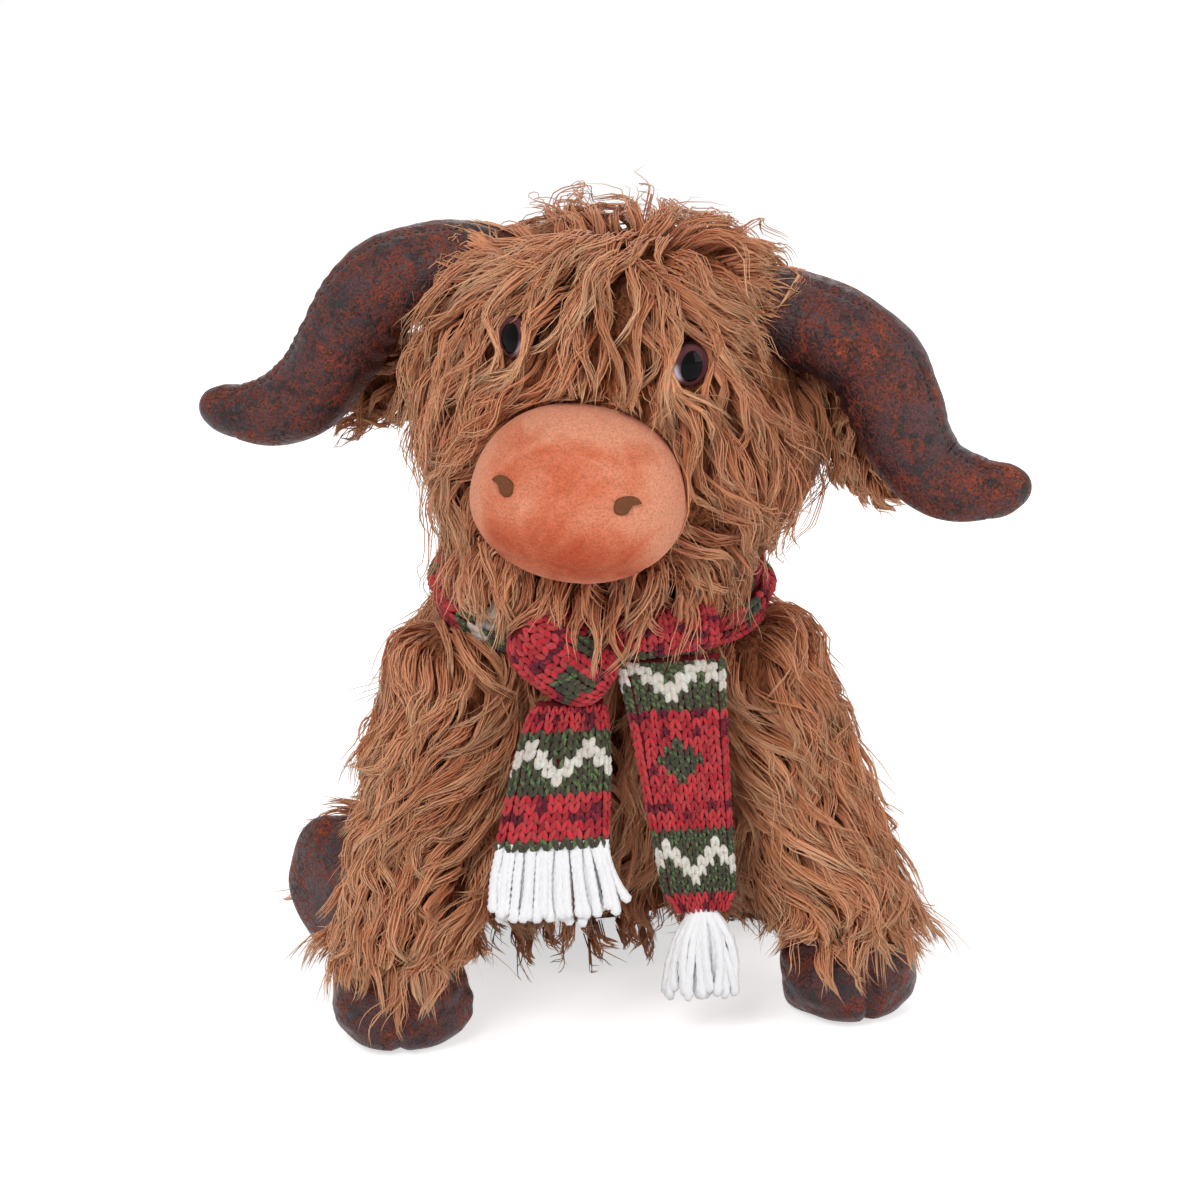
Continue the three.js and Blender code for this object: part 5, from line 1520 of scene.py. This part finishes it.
# Face
NOSTRIL_ASIDE = 37
NOSTRIL_UP = 9
EYE_RADIUS = 8
EYE_BULGE = 5
EYE_COUNT = 56


def muzzle_piece():
    """The muzzle: an oval cushion with a seam low on its front, the cloth drawn in along it. Its colour is
    deeper in a blotch high in the middle, with painted shade over the lower half of its front and a painted
    sheen that pales it towards its rim.
    """
    pole, square_power = 0.004, 2.35
    down = np.linspace(pole, math.pi - pole, 80)[:, None]
    around = circle(96)[None]
    way = ball_ways(down, around)
    seam_level = -0.62 - 0.10 * way[..., 0] ** 2
    seam = bell(way[..., 2] - seam_level, 0.022) * 0.7
    pucker = bell(way[..., 2] - seam_level, 0.09) * 0.14 * np.sin(around * 46)
    full = 0.955 + 0.045 * bell(way[..., 2] + 0.3, 0.45)
    square = (np.abs(way) ** square_power).sum(-1) ** (-1 / square_power)
    size = MUZZLE_HALF * (full * (0.6 + 0.4 * square))[..., None] - (seam - pucker)[..., None]
    rings = MUZZLE_CENTRE + way * size
    x, z = way[..., 0], way[..., 2]
    patch = np.exp(-((x - 0.1) / 0.26) ** 2 - ((z - 0.3) / 0.34) ** 2)
    # painted shade: the lower half of the front coloured deeper, where less light falls
    low = smooth((0.05 - z) / 0.5) * smooth((0.92 - np.abs(x)) / 0.4) * smooth((z + 0.95) / 0.3)
    # painted sheen: the velour paler towards its sides and its top and bottom rim
    pale = smooth((np.abs(x) - 0.6) / 0.35) + smooth((np.abs(z + 0.1) - 0.72) / 0.25)
    deep = np.clip(0.42 + 0.2 * patch + 0.32 * low - 0.3 * pale, 0, 1)
    deep = np.concatenate([deep.ravel(), [0.4, 0.4]])
    colours = np.stack([deep, deep, deep, np.ones(len(deep))], 1)
    cover = skin_piece("muzzle_velour", out_of_head(rings), VELOUR, "head",
                       colours=[("pile", colours)], replaces=("muzzle_cover", "muzzle_stuffing"))


def nostril_pieces():
    """Comma-shaped felt patches let into the muzzle, with rounded edges: a round body, and a tail that runs
    outwards from its arched top with a hollow under it."""
    table = np.array([[-0.98, -0.2], [-0.75, 0.78], [-0.12, 1.0], [0.47, 0.9], [0.84, 0.5], [1.08, -0.15],
                      [0.72, 0.0], [0.4, -0.1], [0.18, -0.46], [-0.12, -0.95], [-0.5, -1.0], [-0.88, -0.7]])
    share = np.arange(48) / 4
    outline = np.stack([np.interp(share, np.arange(13), np.append(c, c[0])) for c in table.T], 1)
    outline = (outline + (np.roll(outline, 1, 0) + np.roll(outline, -1, 0))) / 3 * np.array([5.25, 3.2])
    slant = math.radians(9)
    outline = outline @ np.array([[math.cos(slant), math.sin(slant)], [-math.sin(slant), math.cos(slant)]])
    middle = outline.mean(0)
    levels = np.array([[-1.1, 0.96], [-0.9, 1.0], [0.7, 1.0], [1.1, 0.95], [1.35, 0.84], [1.45, 0.6],
                       [1.4, 0.25]])
    for name, side in SIDES.items():
        shape = outline * np.array([side, 1])
        centre = middle * np.array([side, 1])
        across, lift = math.radians(NOSTRIL_ASIDE), math.radians(NOSTRIL_UP)
        outward = np.array([side * math.sin(across) * math.cos(lift), -math.cos(across) * math.cos(lift),
                            math.sin(lift)])
        reach = 1 / np.linalg.norm(outward / MUZZLE_HALF)
        normal = unit(outward / MUZZLE_HALF**2)
        place = MUZZLE_CENTRE + outward * reach - normal * 0.6
        x = unit(np.cross([0, 0, 1.0], normal))
        y = np.cross(normal, x)
        flat = centre + (shape - centre) * levels[:, 1, None, None]
        rings = place + flat[..., :1] * x + flat[..., 1:] * y + levels[:, 0, None, None] * normal
        skin_piece(f"nostril_felt_{name}", out_of_head(rings), FELT, "head",
                   replaces=(f"nostril_{name}",))


def eye_pieces():
    """Safety eyes: a turned dome with a rim and the stem behind it, with a painted glint on its ring, and the
    plain washers' plastic.
    """
    bulge = np.linspace(0, math.pi / 2, 24)
    profile = np.concatenate([
        np.array([[0.05, -12], [1.9, -12], [2.0, -11.8], [2.0, -3.4], [2.4, -3.0], [7.4, -3.0], [8.0, -2.4]]),
        np.stack([EYE_RADIUS * np.cos(bulge), EYE_BULGE * np.sin(bulge)], 1)[:-1],
    ])
    angle = circle(EYE_COUNT)
    far = profile[:, :1] / EYE_RADIUS
    for name, side in SIDES.items():
        seat, outward = eye_place(side)
        across = unit(np.cross([0, 0, 1.0], outward))
        up = np.cross(outward, across)
        ring = across * np.cos(angle)[:, None] + up * np.sin(angle)[:, None]
        rings = seat + ring[None] * profile[:, 0, None, None] + outward * profile[:, 1, None, None]
        out = np.append(np.repeat(far[:, 0], EYE_COUNT), [0, 0])
        # painted glint: a pale patch of the ring on the nose's side of each dome
        nose_side = -side * np.cos(angle - side * 0.5)
        patch = np.exp(-((far - 0.74) / 0.13) ** 2 - ((nose_side - 1) / 0.13) ** 2)
        oval = far * np.hypot(np.cos(angle) / 0.8, np.sin(angle) / 1.1)
        patch, oval = (np.append(np.minimum(value, 1).ravel(), [0, 0]) for value in (patch, oval))
        colours = np.stack([out, patch, oval, np.ones(len(out))], 1)
        skin_piece(f"eye_dome_{name}", out_of_head(rings), EYE, "head",
                   colours=[("eye", colours)], replaces=(f"eye_{name}",))
        washer = frame["nodes"][f"eye_washer_{name}"]
        for place in range(max(1, len(washer.material_slots))):
            if washer.material_slots:
                washer.material_slots[place].material = WASHER
            else:
                washer.data.materials.append(WASHER)


def neck_piece():
    """The stuffed ball of the neck, in the same cloth as the coat's backing."""
    down = np.linspace(0.02, math.pi - 0.02, 40)[:, None]
    around = circle(48)[None]
    way = ball_ways(down, around)
    crumple = 0.35 * np.sin(around * 7 + 3 * np.cos(down * 3))
    radius = 33.2
    rings = NECK + way * (radius + crumple * np.sin(down))[..., None]
    ball = skin_piece("neck_padding", rings, BACKING, "neck", replaces=("neck_stuffing",))

    coat("neck_coat", Surface(rings), 190, drift((0, 0, -1.0), 51, 0.6), "neck", 34, length=(12, 20),
         height=(0.2, 1.0), hairs=5, top=0.12, bottom=0.5, spread=2.4, curl=(0.4, 1.0))


# Scarf
YARNS = {
    "red": (linear(216, 76, 80), linear(248, 50, 68)),
    "deep": (linear(192, 54, 64), linear(232, 40, 60)),
    "maroon": (linear(112, 30, 50), linear(172, 38, 60)),
    "green": (linear(86, 82, 66), linear(110, 140, 86)),
    "dark": (linear(74, 70, 58), linear(90, 102, 68)),
    "cream": (linear(255, 248, 236), linear(250, 240, 226)),
}
YARN_NAMES = list(YARNS)
YARN_TABLE = np.array([YARNS[name] for name in YARN_NAMES])
RED, DEEP, MAROON, GREEN, DARK, CREAM = range(len(YARN_NAMES))

# Stitch: how far along its lobe each section lies and how fat it is there, and points round a section
LOBE_AT = np.array([0.0, 0.16, 0.5, 0.84, 1.0])
LOBE_FAT = np.array([0.0, 0.78, 1.0, 0.72, 0.0])
LOBE_COUNT = 6
LOBE_POINTS = 3 * LOBE_COUNT + 2

# Its foot and head, aside in widths and along in heights of a stitch, its half thickness in widths, and how
# much plumper it is in cream
LOBE_FOOT = (0.03, 0.84)
LOBE_HEAD = (0.47, -0.74)
LOBE_HALF = 0.26
CREAM_PLUMP = 1.5


def knit(name, surface, columns, rows, colour_of, body, flip=False, keep=None, v_range=(0.0, 1.0),
         across_v=False):
    """Stocking stitch over a surface. Each stitch is two plump lobes that lean together into a V: columns of
    them stand side by side along u, and rows follow each other along v, or the other way round where
    across_v. A lobe is six points round a leaning line, thick in the middle and pointed at both ends."""
    rng = np.random.default_rng(SEED + 50 + len(name))
    column, row = (x.ravel() for x in np.meshgrid(np.arange(columns), np.arange(rows)))
    side, down = (column + 0.5) / columns, (row + 0.5) / rows
    reach = v_range[1] - v_range[0]
    if across_v:
        point, normal, around, along = surface.spot(down, v_range[0] + side * reach)
    else:
        point, normal, around, along = surface.spot(side, v_range[0] + down * reach)
    if keep is not None:
        kept = keep(point)
        column, row, point, normal, around, along = (
            x[kept] for x in (column, row, point, normal, around, along))
    if across_v:
        width = np.linalg.norm(along, axis=1) / columns * reach
        height = np.linalg.norm(around, axis=1) / rows
        x_way, y_way = unit(along), unit(around)
    else:
        width = np.linalg.norm(around, axis=1) / columns
        height = np.linalg.norm(along, axis=1) / rows * reach
        x_way, y_way = unit(around), unit(along)
    width = np.clip(width, 1.2, 7.0)
    if flip:
        y_way = -y_way
    yarn_of = colour_of(column, row, point, rng)
    half = LOBE_HALF * width * np.where(yarn_of == CREAM, CREAM_PLUMP, 1.0)
    angle = circle(LOBE_COUNT)
    t, fat = LOBE_AT, LOBE_FAT[None, 1:-1, None]
    total = len(point)
    lobes = []
    for lean in (-1, 1):
        jitter = rng.normal(0, 0.04, (total, 2))
        foot, head = (np.stack([aside * lean * width, ahead * height], 1) + jitter * width[:, None]
                      for aside, ahead in (LOBE_FOOT, LOBE_HEAD))
        line = foot[:, None] + (head - foot)[:, None] * t[None, :, None]
        line[:, :, 0] += (lean * 0.04 * width)[:, None] * np.sin(t * math.pi)[None]
        run = unit(head - foot)
        sideways = np.stack([-run[:, 1], run[:, 0]], 1)
        out = 0.95 + 0.12 * rng.random(total)
        plane = line[:, 1:-1, None] + (sideways[:, None, None] * np.cos(angle)[None, None, :, None]
                                       * (half[:, None, None] * fat)[..., None])
        lift = 0.5 + np.sin(t[1:-1] * math.pi)[None, :, None] * 0.35 + (
            np.sin(angle)[None, None] * out[:, None, None] * fat)
        rings = (point[:, None, None] + x_way[:, None, None] * plane[..., :1]
                 + y_way[:, None, None] * plane[..., 1:] + normal[:, None, None] * lift[..., None])
        ends = line[:, [0, -1]]
        poles = (point[:, None] + x_way[:, None] * ends[..., :1] + y_way[:, None] * ends[..., 1:]
                 + normal[:, None] * 0.2)
        lobes.append(np.concatenate([rings.reshape(total, -1, 3), poles], 1))
    points = np.concatenate(lobes).reshape(-1, 3)
    total = 2 * total

    quads, round_share, ring = tube_faces(3, LOBE_COUNT)
    j = np.arange(LOBE_COUNT)
    k = (j + 1) % LOBE_COUNT
    last = 2 * LOBE_COUNT
    triangles = np.concatenate([np.stack([k, j, 0 * j + LOBE_POINTS - 2], -1),
                                np.stack([last + j, last + k, 0 * j + LOBE_POINTS - 1], -1)])
    level = t[1:-1]
    quad_uv = np.stack([round_share, level[ring]], -1)
    triangle_uv = np.concatenate([cap_uv(LOBE_COUNT, level[0], 0, turned=True),
                                  cap_uv(LOBE_COUNT, level[-1], 1)])
    base = (np.arange(total) * LOBE_POINTS)[:, None, None]
    quads = (quads[None] + base).reshape(-1, 4)
    triangles = (triangles[None] + base).reshape(-1, 3)
    quads, triangles = facing_each(points, quads, triangles)
    turn = rng.random((total, 1, 1)) * [1.0, 0]
    uv = np.concatenate([(quad_uv.reshape(1, -1, 2) + turn).reshape(-1, 2),
                         (triangle_uv.reshape(1, -1, 2) + turn).reshape(-1, 2)])
    tint = 1 + rng.normal(0, 0.07, (total, 1, 1))
    ones = np.ones((total, LOBE_POINTS, 1))
    colours = []
    for label, shades in zip(("yarn", "ply"), YARN_TABLE[yarn_of].transpose(1, 0, 2)):
        shade = np.repeat(np.tile(shades, (2, 1))[:, None], LOBE_POINTS, 1) * tint
        colours.append((label, np.concatenate([np.clip(shade, 0, 1), ones], -1).reshape(-1, 4)))
    return piece(name, points, quads, triangles, KNIT, body, colours, uv)


def facing_each(points, quads, triangles):
    """The faces of many small closed forms turned over together if they face inwards."""
    sample = quads[:24]
    centre = points[sample].reshape(-1, 4, 3).mean((0, 1))
    return facing_out(points - centre, quads, triangles)


def mottled(rng, count, deep=0.3, maroon=0.06):
    """Numbers of the red yarns: mostly red, with deeper and maroon stitches among them."""
    pick = rng.random(count)
    return np.where(pick < maroon, MAROON, np.where(pick < maroon + deep, DEEP, RED))


def zigzag(column, row, period):
    """Whether a stitch lies on a zigzag two stitches thick that goes down and up once a period."""
    half = period // 2
    level = np.abs(np.mod(column, period) - half)
    return (row >= level) & (row <= level + 1)


def greens(rng, count):
    """Numbers of the green yarns: mostly green, with dark stitches among them."""
    return np.where(rng.random(count) < 0.3, DARK, GREEN)


def diamond_gap(column, middle):
    """How many stitches a column lies from the middle of the nearest diamond."""
    return np.abs(np.mod(column - middle + 6, 12) - 6)


def banded(column, row, rng, bands):
    """Yarn of each stitch from a list of bands: (name, rows, setting). A zigzag band is cream on green, and
    its setting is the zigzag's period. A diamond band is green on red, and its setting is the diamond's
    column. A flecked band is red with a share of maroon stitches."""
    yarn = mottled(rng, len(column))
    start = 0
    for kind, tall, setting in bands:
        inside = (row >= start) & (row < start + tall)
        here = row - start
        if kind == "zigzag":
            yarn = np.where(inside, np.where(zigzag(column + 1, here, setting), CREAM, GREEN), yarn)
        if kind == "green":
            yarn = np.where(inside, GREEN, yarn)
        if kind == "diamond":
            near = diamond_gap(column, setting) + np.abs(here - tall // 2) <= 2
            yarn = np.where(inside & near, greens(rng, len(row)), yarn)
        if kind == "fleck":
            yarn = np.where(inside & (rng.random(len(row)) < setting), MAROON, yarn)
        start += tall
    return yarn


RIGHT_BANDS = [("fleck", 3, 0.25), ("green", 1, 0), ("zigzag", 5, 6), ("green", 1, 0), ("red", 1, 0),
               ("fleck", 2, 0.45), ("red", 2, 0), ("green", 1, 0)]
LEFT_BANDS = [("zigzag", 5, 6), ("green", 1, 0), ("fleck", 3, 0.25), ("diamond", 5, 5), ("red", 2, 0),
              ("fleck", 1, 0.6), ("red", 2, 0), ("green", 1, 0), ("zigzag", 5, 6), ("green", 1, 0),
              ("fleck", 2, 0.2)]


def end_surface(name):
    """A hanging end of the scarf: a flat tube, round along its top edge and thinner at its foot. On its
    section across^2 + front^4 = 1, waved by folds that swell and die out below its top."""
    end = END_SIZES[name]
    top = end["top"]
    foot = top + np.array([end["aside"], -end["proud"], -end["length"]])
    along = unit(foot - top)
    lie = unit(np.cross([1.0, 0, 0], along))
    lie = -lie if lie[1] < 0 else lie
    over = np.array([0.995, 0.9, 0.7, 0.4, 0.15])
    far = np.concatenate([0 * over, np.linspace(0, 1, 44)])
    over = np.concatenate([over, np.zeros(44)])
    angle = np.linspace(0, 2 * math.pi, 720)
    across = np.cos(angle)
    front = np.sign(np.sin(angle)) * np.sqrt(np.abs(np.sin(angle)))
    run = run_along(np.stack([across * 17, front * 4], 1))
    even = np.interp(np.linspace(0, run[-1], 72, endpoint=False), run, angle)
    across = np.cos(even)[None]
    front = (np.sign(np.sin(even)) * np.sqrt(np.abs(np.sin(even))))[None]
    thick = (4.0 * np.sqrt(1 - over**2) * (1 - 0.2 * far))[:, None]
    wide = (end["wide"][0] + (end["wide"][1] - end["wide"][0]) * far ** end["taper"])[:, None]
    fold = 1.6 * np.sin(math.pi * np.minimum(1, far / 0.45))[:, None]
    centre = top + (foot - top) * far[:, None] - along * (over * 4.0)[:, None]
    gather = 1 - end["gather"] * smooth((far[:, None] - 0.9) / 0.1)
    depth = front * (thick - 0.9) + fold * np.cos(end["folds"] * math.pi * across)
    rings = (centre[:, None] + (across * (wide - 0.8) * gather)[..., None] * np.array([1.0, 0, 0])
             - lie * depth[..., None])
    return rings, foot, along, lie


def scarf_pieces():
    """The scarf: plain cloth under the stitches for each part, and the stitches on it."""
    settings = {
        "right": (20, 16, RIGHT_BANDS, False, (0.036, 0.052)),
        "left": (20, 28, LEFT_BANDS, True, (0.034, 0.094)),
    }
    for name, (columns, rows, bands, flip, flat) in settings.items():
        rings = end_surface(name)[0]
        body = f"scarf_end_{name}"
        cloth = skin_piece(f"scarf_end_cloth_{name}", rings, CLOTH, body,
                           replaces=(f"scarf_end_{name}",))

        def colour_of(column, row, point, rng, bands=bands):
            return banded(column, row, rng, bands)

        sewn = knit(f"scarf_end_stitches_{name}", Surface(rings), columns, rows, colour_of, body, flip,
                    v_range=(0.06, 1.0))

    angle = circle(160)
    middle = loop_point(angle)
    outward = np.stack([np.sin(angle), -np.cos(angle), 0 * angle], 1)
    slant = math.radians(22)
    upward = np.array([0, 0, math.cos(slant)]) - outward * math.sin(slant)
    thick = outward * math.cos(slant) + np.array([0, 0, math.sin(slant)])
    tall = 13 * (1 - 0.4 * np.maximum(0, np.cos(angle)) ** 2)
    around = circle(48)
    high, front = np.sin(around), np.cos(around)
    fold = 1.6 * np.cos(2.5 * math.pi * high[None] + 2 * angle[:, None])
    out = front[None] * np.where(front[None] > 0, 5.1 + fold, 5.1)
    rings = (middle[:, None] + upward[:, None] * (high[None] * (tall[:, None] - 0.8))[..., None]
             + thick[:, None] * out[..., None])
    loop = skin_piece("scarf_loop_cloth", rings, CLOTH, "body", loop=True,
                      replaces=("scarf_loop",))

    def loop_colour(column, row, point, rng):
        yarn = mottled(rng, len(row), 0.35, 0.12)
        outer = diamond_gap(column, 0)
        for start in (24, 52, 80):
            here = row - start
            lined = np.where(zigzag(column, here - 1, 6), CREAM, GREEN)
            yarn = np.where((here >= 0) & (here < 7), lined, yarn)
            yarn = np.where(outer + np.abs(here + 10) <= 2.5, GREEN, yarn)
        return yarn

    def off_the_knot(point):
        in_knot = in_oval(point, KNOT_CENTRE, np.array([17, 11, 16]))
        in_cross = in_oval(point, CROSS_CENTRE, np.array([23, 9, 8]))
        in_neck = np.linalg.norm(point - NECK, axis=-1) < 33
        return ~(in_knot | in_cross | in_neck)

    sewn = knit("scarf_loop_stitches", Surface(rings, True), 12, 98, loop_colour, "body", keep=off_the_knot)
    knot_pieces()


def roll_rings(centre, along, half, total, count, folds, depth):
    """A rolled band of cloth that runs a way: its half length, half width and half depth, rounded ends, and
    folds that run along it and sink by a share of its size."""
    along = unit(np.asarray(along, float))
    other = unit(np.cross([0, 1.0, 0], along))
    deep = np.cross(along, other)
    place = np.linspace(-1, 1, total)[:, None]
    size = np.maximum(1 - np.abs(place) ** 3, 0.0004) ** (1 / 2.4)
    angle = circle(count)[None]
    ripple = size * (1 - depth * (1 + np.cos(folds * angle + 1.3 * place)))
    return (centre + along * (half[0] * place)[..., None]
            + other * (half[1] * ripple * np.cos(angle))[..., None]
            + deep * (half[2] * ripple * np.sin(angle))[..., None])


def knot_pieces():
    """The knot: a band wrapped down from the upper left to the lower right, and beside it the crossing that
    the left end hangs from."""
    wrap = roll_rings(KNOT_CENTRE, (0.78, 0, -0.62), (19.5, 14.5, 11.2), 60, 64, 5, 0.04)
    cross = roll_rings(CROSS_CENTRE, (1.0, 0, 0.06), (23.2, 8.4, 9.2), 50, 48, 3, 0.03)
    points, quads, triangles = joined([wrap, cross])
    cloth = piece("scarf_knot_cloth", points, quads, triangles, CLOTH, "body",
                  replaces=("scarf_knot",))

    def knot_colour(column, row, point, rng):
        yarn = mottled(rng, len(row), 0.35, 0.1)
        patch = KNOT_CENTRE + np.array([[0.5, -9, -8.5], [11, -7, 7]])
        for spot, reach in zip(patch, (7.0, 6.5)):
            near = np.abs(point - spot) @ np.array([0.8, 0.15, 1.0]) < reach
            yarn = np.where(near, greens(rng, len(row)), yarn)
        return yarn

    def cross_colour(column, row, point, rng):
        yarn = mottled(rng, len(row), 0.35, 0.15)
        return np.where(CROSS_CENTRE[2] - point[:, 2] > 5.5, GREEN, yarn)

    wound = knit("scarf_knot_stitches", Surface(wrap), 16, 14, knot_colour, "body", v_range=(0.03, 0.97))
    crossed = knit("scarf_crossing_stitches", Surface(cross), 10, 18, cross_colour, "body", across_v=True,
                   v_range=(0.06, 0.94))


def cloth_finish():
    """Plain knit cloth between the stitches: red wool painted dark red as the shade in the gaps between the
    stitches, with a fine fibre grain.
    """
    f = Finish("under_stitches", Roughness=0.95, Specular_IOR_Level=0.08)
    fibre = f.noise(f.place(), 1300, 4, 0.7)
    # painted shade: these dark reds stand for the shade between the stitches
    colour = f.ramp(fibre, (0.3, linear(96, 26, 32)), (0.7, linear(142, 44, 50)))
    return f.use(Base_Color=colour, Normal=f.bump(fibre, 0.7, 0.0008))


CLOTH = cloth_finish()


YARN_RADIUS = 1.65


def plied_yarns(name, lines, body, replaces):
    """Plied yarns along lines: each section has three lobes, which wind once round every 7 mm, and the cut
    end opens a little."""
    total, stations = lines.shape[:2]
    pitch = 7
    steps = np.linalg.norm(np.diff(lines, axis=1), axis=2)
    run = np.concatenate([np.zeros((total, 1)), np.cumsum(steps, 1)], 1)
    along = unit(np.gradient(lines, axis=1))
    side = unit(np.cross(along, np.array([0.1, 1.0, 0.05])))
    up = np.cross(along, side)
    angle = circle(12)
    wound = angle[None, None] - run[..., None] / pitch * 2 * math.pi
    lobes = 0.64 + 0.42 * np.abs(np.cos(1.5 * wound)) ** 0.8
    t = np.linspace(0, 1, stations)
    open_end = 1 + 0.22 * smooth((t - 0.75) / 0.2) - 0.6 * smooth((t - 0.97) / 0.03)
    size = YARN_RADIUS * lobes * open_end[None, :, None]
    rings = (lines[:, :, None] + side[:, :, None] * (np.cos(angle) * size)[..., None]
             + up[:, :, None] * (np.sin(angle) * size)[..., None])
    points, quads, triangles = joined(rings)
    piece(name, points, quads, triangles, FRINGE, body, replaces=replaces)


def fringe_pieces():
    """The right end's fringe of yarns that fan out, and the left end's gathered tassel."""
    rng = np.random.default_rng(SEED + 90)
    foot, along, lie = end_surface("right")[1:]
    aside = np.array([1.0, 0, 0])
    count = 33
    place = np.linspace(-1, 1, count) + rng.normal(0, 0.02, count)
    t = np.linspace(0, 1, 22)
    long = 28.5 - 4 * place**2 + rng.normal(0, 1.3, count)
    layer = np.where(np.arange(count) % 2 == 0, 1.0, -1.0) * 1.1
    start = foot + aside * (place * 18.6)[:, None] - lie * layer[:, None] - along * 2.2
    bow = rng.normal(0, 0.6, count)
    x = (0.8 + 0.9 * (1 + place) + 2.4 * (1 + place) ** 2)[:, None] * t[None] ** 1.2
    x = x + bow[:, None] * np.sin(t * math.pi)[None] - 0.8 * t[None]
    y = rng.normal(0, 0.7, count)[:, None] * np.sin(t * 2.6)[None] + layer[:, None] * -0.4 * t[None]
    lines = (start[:, None] + along * (long[:, None] * t[None])[..., None] + aside * x[..., None]
             + lie * y[..., None])
    plied_yarns("scarf_fringe_yarns_right", lines, "scarf_end_right",
                replaces=("scarf_fringe_right",))

    foot = end_surface("left")[1]
    count = 34
    angle = circle(count)
    ring = np.where(np.arange(count) % 3 == 0, 0.45, 1.0)
    long = 34.5 - rng.random(count) * 4
    out = np.interp(t, [0, 0.12, 0.35, 0.65, 0.9, 1], [0.26, 0.36, 0.68, 0.88, 0.92, 0.86])
    sway = rng.normal(0, 0.7, (count, 2))
    x = 14.0 * (ring * np.cos(angle))[:, None] * out[None] + sway[:, :1] * np.sin(t * 4)[None]
    y = 6.0 * (ring * np.sin(angle))[:, None] * out[None] + sway[:, 1:] * np.sin(t * 3)[None] * 0.5
    z = 1.2 - long[:, None] * t[None]
    lines = foot + np.stack([x, y, z], -1)
    plied_yarns("scarf_tassel_yarns_left", lines, "scarf_end_left",
                replaces=("scarf_fringe_left",))


body_coat()
head_coat()
leg_coats()
ear_coats()
tail_coat()
leather_pieces()
muzzle_piece()
nostril_pieces()
eye_pieces()
neck_piece()
scarf_pieces()
fringe_pieces()
